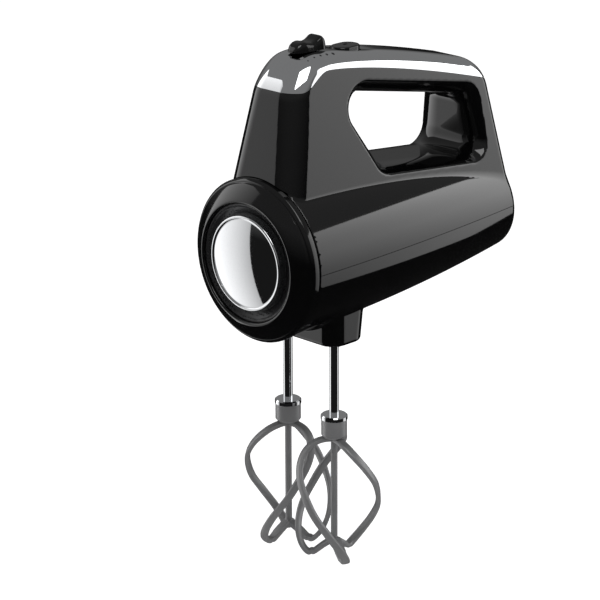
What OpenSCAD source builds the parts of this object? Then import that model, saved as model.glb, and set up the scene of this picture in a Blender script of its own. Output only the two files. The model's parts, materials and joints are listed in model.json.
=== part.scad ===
// Hand mixer: a barrel with a motor along it, a hollow handle over it, and two beaters below.
// All sizes are in millimetres. The sub-parts are laid out from the middle of the front ring, with +X
// towards the rear and +Z up, and are then moved so that the origin is the middle of the hand grip.

/* [Barrel] */
// Outside diameter of the front ring
ring_d = 88; // [86:0.5:106]
// How far the ring stands out past the barrel behind it
ring_lip = 1; // [0.5:0.1:2]
// Length of the barrel from the middle of the ring to its rear face
barrel_l = 173; // [170:1:208]
// How much the barrel's radius shrinks for each square millimetre of length
barrel_bow = 0.0004; // [0.0003:0.00001:0.0005]
// How far the rear face leans out per millimetre downwards
rear_rake = 0.165; // [0.14:0.005:0.2]
// Radius of the flat part of the rear face
rear_face_r = 27; // [24:0.5:28]
// Wall thickness of the housings
wall = 2.4; // [2:0.1:2.9]
// Gap between the two housings along the seam
seam_gap = 0.3; // [0.1:0.05:0.6]

/* [Handle] */
// Height of the handle's top above the barrel
handle_h = 62.6; // [60:0.2:76]
// Half width of the front column just under the trim
column_half_w = 18.6; // [17:0.2:22]
// Half width of the rear column just under the trim
rear_half_w = 16.2; // [15:0.2:20]
// Lean of the handle's side faces at the front
side_lean = 7; // [6:0.5:8.5]
// Lean of the handle's side faces at the rear
rear_lean = 9; // [7.5:0.5:11]
// Radius of the column's front corners
column_corner_r = 15; // [10:0.5:16]
// Radius of the rear column's corners
rear_corner_r = 4.5; // [4:0.5:6]
// Radius along the handle's top edges
top_edge_r = 8; // [6.5:0.5:14]
// Depth of the rounded lip round the finger opening
opening_lip = 12; // [10:0.5:13]
// Thickness of the top trim
trim_t = 1.5; // [1.2:0.1:1.8]

/* [Nose] */
// Distance of the beater spindles behind the middle of the ring
spindle_x = 40.6; // [39:0.2:43]
// Length of the nose along the barrel
nose_l = 26; // [23:0.5:32]
// Distance from a spindle to the nose's side
nose_margin = 12; // [10:0.5:15]
// Height of the nose below the barrel
nose_h = 6.5; // [5:0.5:8]

/* [Beaters] */
// Diameter of a beater's shaft
beater_shaft_d = 5.3; // [4.4:0.1:6.4]
// Length of shaft that shows between the nose and the cap
shaft_show = 42.4; // [36:0.2:51]
// Diameter of the cap and hub
hub_d = 14.6; // [13:0.2:16]
// Height of the chrome cap
cap_h = 2.4; // [2:0.1:4]
// Height of the hub
hub_h = 10.4; // [9:0.2:14]
// Height of the blades from the hub to the foot
cage_h = 68.5; // [57:0.5:83]
// Largest radius of the blades
cage_r = 25.4; // [21:0.2:25.6]
// Radius of the blades' tips
foot_r = 12; // [10:0.5:14.5]
// Width of a blade
blade_w = 4; // [3:0.1:4.6]
// Thickness of a blade
blade_t = 2.4; // [1.8:0.1:3]
// Turn of each blade from the hub to the foot
blade_twist = 115; // [95:1:135]
// Diameter of the rod in the middle of a beater
rod_d = 3.7; // [3:0.1:4.4]
// Depth that a beater's shaft goes into its spindle
socket_depth = 19; // [16:0.5:20]

/* [Drive] */
// Teeth on each worm wheel
wheel_teeth = 26; // [24:1:31]
// Module of the worm and its wheels
gear_module = 1; // [0.9:0.05:1.1]
// Pitch diameter of the worm
worm_pitch_d = 9; // [8.6:0.1:10]
// Height of the worm wheels
wheel_h = 8; // [6:0.5:9]
// Diameter of the motor shaft
shaft_d = 6; // [5:0.1:6.4]
// Diameter of the armature
armature_d = 29.4; // [26:0.2:35]
// Length of the laminated stack
stack_l = 24; // [20:1:28]

/* [Controls] */
// Travel of the speed lever
lever_travel = 8; // [6:0.5:9.6]
// Travel of the turbo button
turbo_travel = 2; // [1.5:0.1:2.4]
// Travel of the ejector
ejector_travel = 4; // [3:0.2:4.8]

/* [Fits] */
// Radial clearance of a running fit
running = 0.05; // [0.02:0.01:0.1]
// Gap round a moving piece that isn't in a bearing
clear = 0.3; // [0.25:0.05:0.5]
// Radius of the cord inlet's bore
inlet_bore_r = 3.6; // [3:0.1:4.2]

/* [Hidden] */

EPS = 0.01;         // thickness of a slice in a hull, and the overlap of a cut
ROUND = 64;         // facets of plain round pieces
HULL_FN = 32;       // facets of circles inside a hull
BIG = 500;          // larger than the whole mixer

// ---- Layout ----
barrel_d = ring_d - 2 * ring_lip;
handle_top = barrel_d / 2 + handle_h;
grip_x = barrel_l - 68;
grip_z = handle_top - 22;

module from_grip() { translate([-grip_x, 0, -grip_z]) children(); }
module on_x(x, y = 0, z = 0) { translate([x, y, z]) rotate([0, 90, 0]) children(); }
module both_sides() { for (m = [0, 1]) mirror([0, m, 0]) children(); }
module rod_x(r, from, to, y = 0, z = 0, fn = ROUND) { on_x(from, y, z) cylinder(r = r, h = to - from, $fn = fn); }
module rod_y(r, from, to, x) { translate([x, from, 0]) rotate([-90, 0, 0]) cylinder(r = r, h = to - from, $fn = ROUND); }
module rod_z(r, from, to, x = 0, y = 0, fn = ROUND) {
    translate([x, y, from]) cylinder(r = r, h = to - from, $fn = fn);
}
module block(x, y, z) { translate([x[0], y[0], z[0]]) cube([x[1] - x[0], y[1] - y[0], z[1] - z[0]]); }

// ---- Barrel: a slightly bowed round body, cut at the rear by a leaning face with a rounded rim ----
barrel_front_x = 4.6;
pad_r = 17;                 // outside of the heel pad on the rear face

function barrel_r(x) = barrel_d / 2 - barrel_bow * x * x;
barrel_stations = [barrel_front_x, 30, 60, 90, 120, 150, barrel_l + 10];
rim_steps = [[0, 0], [1.9, 0.5], [3.3, 1.7], [4.3, 3.6], [5.6, 7.5], [10, 14], [63, 60]];

module at_rear() { translate([barrel_l, 0, 0]) rotate([0, -atan(rear_rake), 0]) children(); }
module barrel_solid(inset) {
    intersection() {
        on_x(0) rotate_extrude($fn = 72) polygon(concat(
            [[0, barrel_front_x - (inset > 0 ? EPS : 0)]],
            [for (x = barrel_stations) [barrel_r(x) - inset, x - (inset > 0 && x == barrel_front_x ? EPS : 0)]],
            [[0, barrel_l + 10]]
        ));
        at_rear() on_x(0) rotate_extrude($fn = 72) polygon(concat(
            [[0, -inset]],
            [for (p = rim_steps) [rear_face_r + p[0] - inset, -p[1] - inset]],
            [[rear_face_r + 63 - inset, -BIG], [0, -BIG]]
        ));
    }
}

// ---- Handle: side faces that lean in, under an arched top ----
column_foot_x = 2.5;        // the front face at the level of the ring's top
column_foot_z = ring_d / 2 + 1;
column_lean = 0.2;          // how far the front face leans back per millimetre of height
side_ref_z = handle_top - 17.8;
arch_front_x = 28;          // where the front rounding of the top ends
arch_peak_x = 38;
arch_end_x = barrel_l - 25; // where the rear rounding of the top starts
arch_sag = 0.0274;
arch_power = 1.41;
front_round_h = 19;
rear_round_h = 14;
handle_floor_z = 4;

function front_x(z) = column_foot_x + column_lean * (z - column_foot_z);
function rear_x(z) = barrel_l - rear_rake * z;
function half_w(z, ref, lean) = ref + (side_ref_z - z) * tan(lean);
function front_w(z) = half_w(z, column_half_w, side_lean);
function rear_w(z) = half_w(z, rear_half_w, rear_lean);
function arch(x) = handle_top - arch_sag * pow(abs(x - arch_peak_x), arch_power);
function quarter(t) = 1 - sqrt(max(0, 1 - t * t));
front_edge_x = front_x(handle_top - front_round_h);
rear_edge_x = rear_x(arch(arch_end_x) - rear_round_h);
function top_z(x) = x < arch_front_x
    ? arch(arch_front_x) - front_round_h * quarter((arch_front_x - x) / (arch_front_x - front_edge_x))
    : x > arch_end_x
    ? arch(arch_end_x) - rear_round_h * quarter((x - arch_end_x) / (rear_edge_x - arch_end_x))
    : arch(x);
function along_handle(x) = (x - front_edge_x) / (rear_edge_x - front_edge_x);
function side_w(x, z) = front_w(z) + (rear_w(z) - front_w(z)) * along_handle(x);
top_stations = [
    0,
    for (k = [0, 0.06, 0.22, 0.46, 0.73]) front_edge_x + (arch_front_x - front_edge_x) * k,
    arch_front_x, arch_peak_x, for (x = [54, 75, 100, 125]) x, arch_end_x,
    for (k = [0.4, 0.7, 0.9, 1]) arch_end_x + (rear_edge_x - arch_end_x) * k,
    barrel_l + 1
];

// A convex solid round a list of points.
module wrap(points) {
    hull() polyhedron(points = points, faces = [for (i = [2 : len(points) - 1]) [i - 2, i - 1, i]]);
}

// Plan of the handle at one height, as points.
function handle_plan(z, inset) = [
    for (side = [-1, 1], a = [0 : 7.5 : 90]) [
        front_x(z) + column_corner_r - (column_corner_r - inset) * cos(a),
        side * (front_w(z) - column_corner_r + (column_corner_r - inset) * sin(a)), z
    ],
    for (side = [-1, 1], a = [0 : 18 : 90]) [
        rear_x(z) - rear_corner_r + (rear_corner_r - inset) * cos(a),
        side * (rear_w(z) - rear_corner_r + (rear_corner_r - inset) * sin(a)), z
    ]
];

// Cross-section of the space under the arched top at one length, as points.
function arch_section(x, inset) = let (
    z = top_z(x) - inset,
    r = top_edge_r - inset,
    w = side_w(x, top_z(x) - top_edge_r) - inset
) concat(
    [for (side = [-1, 1], a = [0 : 9 : 90]) [x, side * (w - r + r * cos(a)), z - r + r * sin(a)]],
    [[x, -ring_d / 2, -1], [x, ring_d / 2, -1]]
);

module handle_solid(inset) {
    intersection() {
        wrap(concat(handle_plan(handle_floor_z, inset), handle_plan(handle_top + 5, inset)));
        wrap([for (x = top_stations) each arch_section(x, inset)]);
    }
}

// ---- Finger opening: a rounded four-sided outline, narrower inside than at the faces ----
saddle = -1.5;              // height of the opening's floor over the round of the barrel
low_x = [80, barrel_l - 27];
function floor_z(x) = barrel_r(x) + saddle;
// Corner circles, each [x, z, radius]: on the side faces, and in the throat between them.
opening_face = [
    [63, handle_top - 31.6, 14],
    [barrel_l - 33, handle_top - 44.1, 12],
    [low_x[1] - 2.5, floor_z(low_x[1]) + 6.5, 10.5],
    [low_x[0] - 2, floor_z(low_x[0]) + 9.5, 13]
];
opening_throat = [
    [63.5, handle_top - 33, 5.5],
    [barrel_l - 32, handle_top - 45.6, 5],
    [low_x[1] - 2, floor_z(low_x[1]) + 5, 5],
    [low_x[0], floor_z(low_x[0]) + 6, 6]
];
lip_steps = [[0, 0], [0.16, 0.42], [0.45, 0.78], [1, 1]];   // share of the lip's depth, share of its width

// The opening's outline as points, leaning with the side face; 'depth' is how far it lies inside it.
function opening_outline(depth, share, grow) = let (
    lean = tan(side_lean),
    taper = (column_half_w - rear_half_w) / (rear_edge_x - front_edge_x),
    face = column_half_w + side_ref_z * lean + taper * front_edge_x
) [
    for (i = [0 : len(opening_face) - 1], a = [0 : 15 : 345]) let (
        c = opening_face[i] + share * (opening_throat[i] - opening_face[i]),
        x = c[0] + (c[2] + grow) * cos(a),
        z = c[1] + (c[2] + grow) * sin(a)
    ) [x, face - depth - taper * x - lean * z, z]
];
function mirrored(points) = [for (p = points) [p[0], -p[1], p[2]]];

// The opening as a cutter, grown by 'grow': with grow = wall it is the outside of the opening's lining.
module opening_cutter(grow) {
    throat = opening_outline(opening_lip, 1, grow);
    both_sides() {
        for (i = [0 : len(lip_steps) - 2]) wrap([for (p = [lip_steps[i], lip_steps[i + 1]])
            each opening_outline(opening_lip * p[0], p[1], grow)]);
        wrap([for (depth = [0, -12]) each opening_outline(depth, 0, grow)]);
    }
    wrap(concat(throat, mirrored(throat)));
}

// ---- Trim line: the region over the curve where the chrome trim meets the housing ----
trim_front_z = handle_top - 16.7;
trim_rise_x = 27;           // middle of the step behind the column's front corner
trim_side_z = handle_top - 7.9;
trim_end_z = handle_top - 32.5;
trim_end_x = barrel_l - 17;

function step(t) = t <= 0 ? 0 : t >= 1 ? 1 : t * t * (3 - 2 * t);
function trim_rear(x) = x < 38 ? trim_side_z
    : trim_side_z - (trim_side_z - trim_end_z) * pow((x - 38) / (trim_end_x - 38), 1.35);
function trim_line(x) = trim_front_z + (trim_rear(x) - trim_front_z) * step((x - trim_rise_x + 10) / 20);
trim_stations = [0, 17, for (x = [19 : 3 : 37]) x, 40, 50, 65, 85, 110, 135, barrel_l];

module over_trim(shift) {
    rotate([90, 0, 0]) linear_extrude(BIG, center = true) polygon(concat(
        [for (x = trim_stations) [x, trim_line(x) + shift]],
        [[barrel_l, BIG / 2], [0, BIG / 2]]
    ));
}

// ---- Openings in the top for the lever and the button ----
stem_x = [36, 42];
stem_w = 5;
button_x = 67;
button_z = arch(button_x);
button_l = 17;
button_w = 12;
roof_inset = trim_t + clear;                // from the trim's outside to the housing's outside
roof_under = roof_inset + wall;             // from the trim's outside to the housing's inside

module oval(l, w, from, to, x) {
    translate([x, 0, from]) linear_extrude(to - from) hull()
        for (s = [-1, 1]) translate([s * (l - w) / 2, 0]) circle(d = w, $fn = HULL_FN);
}
module top_cuts(grow) {
    block([stem_x[0] - lever_travel - clear - grow, stem_x[1] + clear + grow],
        [-stem_w / 2 - clear - grow, stem_w / 2 + clear + grow], [handle_top - 10, handle_top + 2]);
    oval(button_l + 2 * (clear + grow), button_w + 2 * (clear + grow), button_z - 10, button_z + 5, button_x);
}

// ---- Drive layout ----
wheel_pitch_r = gear_module * wheel_teeth / 2;
spindle_y = wheel_pitch_r + worm_pitch_d / 2;
spindle_r = 4.5;
spindle_head_r = 5.5;
spindle_top_z = 13;
nose_bottom = -(barrel_d / 2 + nose_h);
spindle_bottom = nose_bottom + 1;
head_h = 8.5;
shaft_top = spindle_bottom + socket_depth;
beater_r = beater_shaft_d / 2;
cap_top = nose_bottom - shaft_show;
hub_top = cap_top - cap_h;
hub_bottom = hub_top - hub_h;
key_t = 2;
key_w = 2 * spindle_head_r - 1.4;
key_h = 4;
key_bottom = spindle_bottom + 1.5;

stack_x = [88, 88 + stack_l];
bore_gap = 0.5;
bore_r = armature_d / 2 + bore_gap;
coil_r = [bore_r + 2.3, bore_r + 7.3];
stator_r = bore_r + 11.5;
bolt_r = 1.6;
bolt_y = bore_r + 6.8;
bolt_x = [60.5, stack_x[1] + 33];
frame_x = [22, 64];
frame_z = [-16, 12];
plate_t = 4;
bush_r = 7;
front_wall_t = 6;
bearing_r = 5;
bracket_x = [stack_x[1] + 27, stack_x[1] + 31];
bracket_r = 25;
bearing_rear_x = [bracket_x[0], bracket_x[1] + 4];
comm_r = 9;
comm_x = [stack_x[1] + 10, stack_x[1] + 22];
brush_z = 20;
holder_z = 25.5;
holder_x = (comm_x[0] + comm_x[1]) / 2;
screw_spots = [[13, 15], [barrel_l - 25, 14]];
frame_screw_spots = [[27, 22], [56, 22]];

// ---- Housings ----
module nose_solid(inset) {
    r = 9;
    half = spindle_y + nose_margin;
    translate([0, 0, nose_bottom + inset]) linear_extrude(-nose_bottom - inset - 4) hull()
        for (sx = [-1, 1], sy = [-1, 1])
            translate([spindle_x + sx * (nose_l / 2 - r), sy * (half - r)]) circle(r - inset, $fn = HULL_FN);
}
module spindle_spots() { for (side = [-1, 1]) translate([spindle_x, side * spindle_y, 0]) children(); }

module housing_outside() {
    barrel_solid(0);
    difference() {
        handle_solid(0);
        over_trim(-clear / 2);
    }
    handle_solid(roof_inset);
}
module housing_inside() {
    difference() {
        union() {
            barrel_solid(wall);
            handle_solid(roof_under);
            difference() {
                handle_solid(wall);
                over_trim(-roof_under);
            }
        }
        opening_cutter(wall);
    }
}
module inlet_hole() { rod_y(inlet_neck_r + 0.2, 20, 60, inlet_x); }

module upper_housing() {
    color("#1b1b1d") from_grip() difference() {
        intersection() {
            union() {
                difference() {
                    housing_outside();
                    housing_inside();
                }
                intersection() {
                    barrel_solid(wall / 2);
                    for (p = screw_spots) both_sides() {
                        rod_z(post_r, seam_gap / 2, 18, p[0], p[1]);
                        block([p[0] - rib_t / 2, p[0] + rib_t / 2], [p[1], barrel_d / 2], [seam_gap / 2, 14]);
                    }
                }
            }
            block([-BIG, BIG], [-BIG, BIG], [seam_gap / 2, BIG]);
        }
        rod_x(ring_d / 2 + clear, -BIG / 10, barrel_front_x + 0.1, fn = 72);
        opening_cutter(0);
        top_cuts(0);
        inlet_hole();
        for (p = screw_spots) both_sides() rod_z(screw_r + 0.2, -1, 14, p[0], p[1]);
    }
}

screw_r = 1.6;
screw_head_r = 3;
post_r = 4;
rib_t = 2;
module lower_housing() {
    color("#151516") from_grip() difference() {
        intersection() {
            union() {
                difference() {
                    union() {
                        barrel_solid(0);
                        nose_solid(0);
                    }
                    barrel_solid(wall);
                    nose_solid(wall);
                }
                intersection() {
                    union() {
                        barrel_solid(wall / 2);
                        nose_solid(wall / 2);
                    }
                    union() {
                        for (p = screw_spots) both_sides() rod_z(post_r, -BIG / 4, -seam_gap / 2, p[0], p[1]);
                        for (p = frame_screw_spots) both_sides() rod_z(post_r, -BIG / 4, frame_z[0], p[0], p[1]);
                        spindle_spots() rod_z(spindle_head_r + clear + 2, nose_bottom, spindle_bottom + head_h + 2);
                    }
                }
            }
            block([-BIG, BIG], [-BIG, BIG], [-BIG, -seam_gap / 2]);
        }
        inlet_hole();
        spindle_spots() rod_z(spindle_head_r + clear, nose_bottom - 1, spindle_bottom + head_h + 3);
        for (p = screw_spots) both_sides() {
            rod_z(screw_r + 0.2, -BIG / 4, 1, p[0], p[1]);
            rod_z(screw_head_r + 0.4, -BIG / 4, screw_head_z, p[0], p[1]);
        }
        for (p = frame_screw_spots) both_sides() rod_z(screw_r + 0.2, frame_z[0] - 9, frame_z[0] + 1, p[0], p[1]);
    }
}
screw_head_z = -11;

module top_trim() {
    color("#d9dbdd") from_grip() difference() {
        intersection() {
            handle_solid(0);
            over_trim(clear / 2);
        }
        handle_solid(trim_t);
        top_cuts(0.4);
    }
}

// ---- Front ----
ring_front_x = -7.4;
ring_bulge = 1.2;           // 1 is a plain cone
recess_r = 31.8;
disc_r = 25.6;
module front_ring() {
    r = ring_d / 2;
    lip_r = recess_r + 1.2;
    color("#101011") from_grip() on_x(0) rotate_extrude($fn = 96) polygon(concat(
        [[recess_r, barrel_front_x - 0.4], [recess_r, ring_front_x + 0.9]],
        [for (k = [0 : 6]) let (u = k / 6)
            [lip_r + (r - lip_r) * u, ring_front_x * pow(1 - pow(u, ring_bulge), 1 / ring_bulge)]],
        [[r, 2.6], [r - 0.6, 3.2], [r - 2, 3.6], [r - 2, barrel_front_x - 0.4]]
    ));
}
module front_recess() {
    color("#0b0b0c") from_grip() on_x(0) rotate_extrude($fn = 96) polygon([
        [9, -2.4], [9, 3.6], [recess_r, 3.6], [recess_r, -5.4], [recess_r - 1.4, -5.4],
        [disc_r + 1.4, -3.4], [disc_r + 0.4, -2.4]
    ]);
}
module front_disc() {
    crown = 2.4;
    color("#e8eaec") from_grip() on_x(0) rotate_extrude($fn = 96) polygon(concat(
        [[0, -2.4], [0, -8.2 - crown + 1]],
        [for (k = [1 : 7]) [(disc_r - 1.4) * k / 7, -7.2 - crown * (1 - k * k / 49)]],
        [[disc_r - 0.9, -7.7], [disc_r - 0.2, -7.6], [disc_r, -7], [disc_r, -2.4]]
    ));
}

// ---- Rear: the cord's inlet on the far side, and the pads the mixer stands on ----
inlet_x = barrel_l - 15;
inlet_neck_r = 5.6;
inlet_inner_y = barrel_r(inlet_x) - wall - 5.2;
inlet_outer_y = barrel_r(inlet_x) + 1.6;
module cord_inlet() {
    color("#1a1a1a") from_grip() difference() {
        union() {
            rod_y(inlet_neck_r + 1.8, inlet_inner_y, inlet_inner_y + 3, inlet_x);
            rod_y(inlet_neck_r, inlet_inner_y + 2.9, inlet_outer_y, inlet_x);
        }
        rod_y(inlet_bore_r, inlet_inner_y - 1, inlet_outer_y + 1, inlet_x);
    }
}
pad_t = 2;
upper_pad_r = 9;
upper_pad_z = 50;
module pad(r, z) {
    translate([0, 0, z]) on_x(0) rotate_extrude($fn = ROUND)
        polygon([[0, 0], [r, 0], [r, pad_t - 0.6], [r - 0.6, pad_t], [0, pad_t]]);
}
module heel_pad() {
    color("#242424") from_grip() at_rear() {
        pad(pad_r, 0);
        pad(upper_pad_r, upper_pad_z);
    }
}

// ---- Gearbox and motor, held still ----
module gearbox_frame() {
    half = spindle_y + 9;
    color("#8e9398") from_grip() difference() {
        union() {
            block(frame_x, [-half, half], [frame_z[0], frame_z[0] + plate_t]);
            block(frame_x, [-half, half], [frame_z[1] - 3, frame_z[1]]);
            block([frame_x[0], frame_x[0] + front_wall_t], [-10, 10], frame_z);
            block([frame_x[1] - plate_t, frame_x[1]], [-half, half], frame_z);
            spindle_spots() rod_z(bush_r + 2, frame_z[0] - 4, frame_z[0] + plate_t);
            both_sides() rod_x(bolt_r + 1.6, frame_x[1] - 1, stack_x[0], bolt_y);
        }
        spindle_spots() rod_z(bush_r, frame_z[0] - 5, frame_z[1] + 1);
        rod_x(bearing_r, frame_x[0] + 1.5, frame_x[0] + front_wall_t + 1);
        rod_x(7.5, frame_x[1] - plate_t - 1, frame_x[1] + 1);
        both_sides() rod_x(bolt_r + 0.1, bolt_x[0] - 10, stack_x[0] + 1, bolt_y);
        for (p = frame_screw_spots) both_sides() {
            rod_z(screw_r + 0.15, frame_z[0] - 1, frame_z[0] + plate_t + 1, p[0], p[1]);
            rod_z(screw_head_r + 0.4, frame_z[1] - 4, frame_z[1] + 1, p[0], p[1]);
        }
        rod_z(2, frame_z[1] - 4, frame_z[1] - 3 + EPS, spindle_x, 0);
    }
}
module rear_bracket() {
    color("#9a9ea3") from_grip() difference() {
        union() {
            rod_x(bracket_r, bracket_x[0], bracket_x[1]);
            rod_x(bearing_r + 3, bracket_x[0], bearing_rear_x[1]);
            both_sides() rod_x(bolt_r + 1.8, stack_x[1], bracket_x[1], bolt_y);
        }
        rod_x(bearing_r, bracket_x[0] - 1, bearing_rear_x[1] + 1);
        both_sides() rod_x(bolt_r + 0.1, stack_x[1] - 1, bracket_x[1] + 1, bolt_y);
        both_sides() for (s = [-1, 1]) translate([0, 0, s * 12]) rod_x(3.5, bracket_x[0] - 1, bracket_x[1] + 1, 12);
    }
}
module bearing(x) {
    from_grip() difference() {
        rod_x(bearing_r, x[0], x[1]);
        rod_x(shaft_d / 2 + running, x[0] - 1, x[1] + 1);
    }
}
module front_bearing() { color("#b08d57") bearing([frame_x[0] + 1.5, frame_x[0] + front_wall_t]); }
module rear_bearing() { color("#b08d57") bearing(bearing_rear_x); }

module sector(r, angles, x) {
    on_x(x[0]) rotate([0, 0, 180 - angles[1]]) rotate_extrude(angle = angles[1] - angles[0], $fn = ROUND)
        translate([r[0], 0]) square([r[1] - r[0], x[1] - x[0]]);
}
coil_a = [38, 54];
module motor_stator() {
    slot = [coil_r[0] - clear, coil_r[1] + clear];
    color("#6d7176") from_grip() difference() {
        rod_x(stator_r, stack_x[0], stack_x[1]);
        rod_x(bore_r, stack_x[0] - 1, stack_x[1] + 1);
        for (flip = [0, 180]) rotate([flip, 0, 0]) {
            sector(slot, [coil_a[0] - 1, coil_a[1] + 1], [stack_x[0] - 1, stack_x[1] + 1]);
            sector(slot, [180 - coil_a[1] - 1, 180 - coil_a[0] + 1], [stack_x[0] - 1, stack_x[1] + 1]);
        }
        both_sides() rod_x(bolt_r + 0.1, stack_x[0] - 1, stack_x[1] + 1, bolt_y);
    }
}
module field_coils() {
    end_l = 5;
    out = [stack_x[0] - end_l, stack_x[1] + end_l];
    color("#a0521f") from_grip() for (flip = [0, 180]) rotate([flip, 0, 0]) difference() {
        sector(coil_r, [-coil_a[1], coil_a[1]], out);
        sector([coil_r[0] - 1, coil_r[1] + 1], [-coil_a[0], coil_a[0]], [stack_x[0] - 0.4, stack_x[1] + 0.4]);
    }
}
brush_w = [5, 6];
holder_t = 1.2;
module at_brushes() { for (flip = [0, 180]) rotate([flip, 0, 0]) translate([holder_x, 0, 0]) children(); }
module brush_box(grow, from, to) {
    block([-brush_w[0] / 2 - grow, brush_w[0] / 2 + grow], [-brush_w[1] / 2 - grow, brush_w[1] / 2 + grow], [from, to]);
}
module brush_holders() {
    color("#c9a54a") from_grip() at_brushes() {
        difference() {
            brush_box(holder_t + 0.1, comm_r + 1.6, holder_z);
            brush_box(0.1, 0, holder_z - holder_t);
        }
        block([brush_w[0] / 2 + holder_t + 0.1, bracket_x[0] - holder_x], [-2, 2], [18, 20]);
    }
}
module carbon_brushes() { color("#2b2b2b") from_grip() at_brushes() brush_box(0, comm_r + 0.05, brush_z); }
module coil_spring(r, wire, from, to, turns) {
    pitch = (to - from) / turns;
    translate([0, 0, from]) rotate_extrude($fn = 32) polygon(concat(
        [for (i = [0 : turns - 1], k = [[0, 0.05], [wire * 0.45, 0.35], [wire * 0.45, 0.65], [0, 0.95]])
            [r + k[0], pitch * (i + k[1])]],
        [for (j = [0 : turns - 1], k = [[wire, 0.95], [wire * 0.55, 0.65], [wire * 0.55, 0.35], [wire, 0.05]])
            [r - k[0], pitch * (turns - 1 - j + k[1])]]
    ));
}
module brush_springs() {
    color("#c8ccd0") from_grip() at_brushes() coil_spring(2, 0.9, brush_z, holder_z - holder_t, 3);
}
module motor_bolts() {
    color("#c5c8cc") from_grip() both_sides() {
        rod_x(bolt_r, bolt_x[0], bolt_x[1], bolt_y);
        rod_x(2.8, bracket_x[1], bracket_x[1] + 2.4, bolt_y);
    }
}
module frame_screws() {
    color("#c5c8cc") from_grip() for (p = frame_screw_spots) both_sides() {
        rod_z(screw_r, frame_z[0] - 8, frame_z[0] + plate_t, p[0], p[1]);
        rod_z(screw_head_r, frame_z[0] + plate_t, frame_z[0] + plate_t + 2, p[0], p[1]);
    }
}
module housing_screws() {
    color("#c5c8cc") from_grip() for (p = screw_spots) both_sides() {
        rod_z(screw_r, screw_head_z, 12, p[0], p[1]);
        rod_z(screw_head_r, screw_head_z - 2.2, screw_head_z, p[0], p[1]);
    }
}
module spindle_bushes() {
    color("#b08d57") from_grip() spindle_spots() for (z = [[frame_z[0] - 4, frame_z[0] + plate_t], [frame_z[1] - 3, frame_z[1]]])
        difference() {
            rod_z(bush_r, z[0], z[1]);
            rod_z(spindle_r + running, z[0] - 1, z[1] + 1);
        }
}

// ---- Controls, held still ----
board_z = handle_top - 17.4;
board_top = board_z + 1.6;
slider_z = [handle_top - 8.6, handle_top - 7];
module speed_board() {
    color("#1f5a35") from_grip() {
        block([27, 82], [-10, 10], [board_z, board_top]);
        block([55, 58], [-8, 8], [board_top, board_top + 3]);
        block([76, 81], [-7, 7], [board_top, board_top + 3]);
    }
}
module speed_switch() {
    color("#d8d4c8") from_grip() {
        block([29, 54], [-9, 9], [board_top, slider_z[0] - 0.4]);
        for (s = [-1, 1]) block([30, 53], [s * 6 - 0.8, s * 6 + 0.8], [slider_z[0] - 0.4, slider_z[0] - 0.2]);
    }
}
switch_top = board_top + 2.6;
module turbo_switch() { color("#202428") from_grip() rod_z(3.6, board_top, switch_top, button_x); }

// ---- Armature ----
worm_x = [spindle_x - 8, spindle_x + 8];
module motor_shaft() {
    color("#b9bdc2") from_grip() difference() {
        rod_x(shaft_d / 2, frame_x[0] + 2, bearing_rear_x[1] + 3);
        rod_x(0.8, bearing_rear_x[1] + 1, bearing_rear_x[1] + 4);
    }
}
module on_shaft(r, from, to, bore = shaft_d / 2) {
    difference() {
        rod_x(r, from, to);
        rod_x(bore, from - 1, to + 1);
    }
}
module armature_core() {
    slots = 12;
    color("#7b7f84") from_grip() difference() {
        on_shaft(armature_d / 2, stack_x[0], stack_x[1]);
        for (i = [0 : slots - 1]) rotate([(i + 0.5) * 360 / slots, 0, 0])
            block([stack_x[0] - 1, stack_x[1] + 1], [-0.7, 0.7], [armature_d / 2 - 3, armature_d / 2 + 1]);
    }
}
module armature_winding() {
    r = armature_d / 2 - 1.6;
    color("#b5602a") from_grip() for (x = [[stack_x[0] - 7.5, stack_x[0]], [stack_x[1], stack_x[1] + 7.5]])
        difference() {
            on_x(x[0]) rotate_extrude($fn = ROUND) polygon([[shaft_d / 2, 0], [r - 2.5, 0], [r, 2.4], [r, 5.1], [r - 2.5, 7.5], [shaft_d / 2, 7.5]]);
        }
}
module commutator() {
    bars = 24;
    color("#b87333") from_grip() difference() {
        on_shaft(comm_r, comm_x[0], comm_x[1]);
        for (i = [0 : bars - 1]) rotate([i * 360 / bars, 0, 0])
            block([comm_x[0] - 1, comm_x[1] + 1], [-0.2, 0.2], [comm_r - 0.8, comm_r + 1]);
    }
}
module cooling_fan() {
    blades = 12;
    r = bolt_y - bolt_r - 3;
    color("#e4e1d6") from_grip() {
        on_shaft(7, 67.5, 77.5);
        on_shaft(r, 76, 77.5);
        for (i = [0 : blades - 1]) rotate([i * 360 / blades, 0, 0])
            block([68, 76.5], [-0.6, 0.6], [6, r - 0.5]);
    }
}
worm_pitch = PI * gear_module;
worm_root_r = worm_pitch_d / 2 - 1.15 * gear_module;
worm_tip_r = worm_pitch_d / 2 + 0.9 * gear_module;
thread_root_w = 0.85 * gear_module;
thread_tip_w = 0.3 * gear_module;
thread_step = 20;
module thread_wedge(a) {
    translate([spindle_x + worm_pitch * (a / 360 - 0.25), 0, 0]) rotate([a, 0, 0]) rotate([90, 0, 0])
        linear_extrude(EPS, center = true) polygon([
            [-thread_root_w, worm_root_r - 0.3], [thread_root_w, worm_root_r - 0.3],
            [thread_tip_w, worm_tip_r], [-thread_tip_w, worm_tip_r]
        ]);
}
module worm() {
    turns = 3.5;
    color("#a8acb1") from_grip() difference() {
        union() {
            rod_x(worm_root_r, worm_x[0], worm_x[1], fn = 48);
            for (a = [-turns / 2 * 360 : thread_step : turns / 2 * 360 - thread_step]) hull() {
                thread_wedge(a + 90);
                thread_wedge(a + thread_step + 90);
            }
        }
        rod_x(shaft_d / 2 / cos(180 / 48) + EPS, worm_x[0] - 1, worm_x[1] + 1, fn = 48);
    }
}

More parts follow.
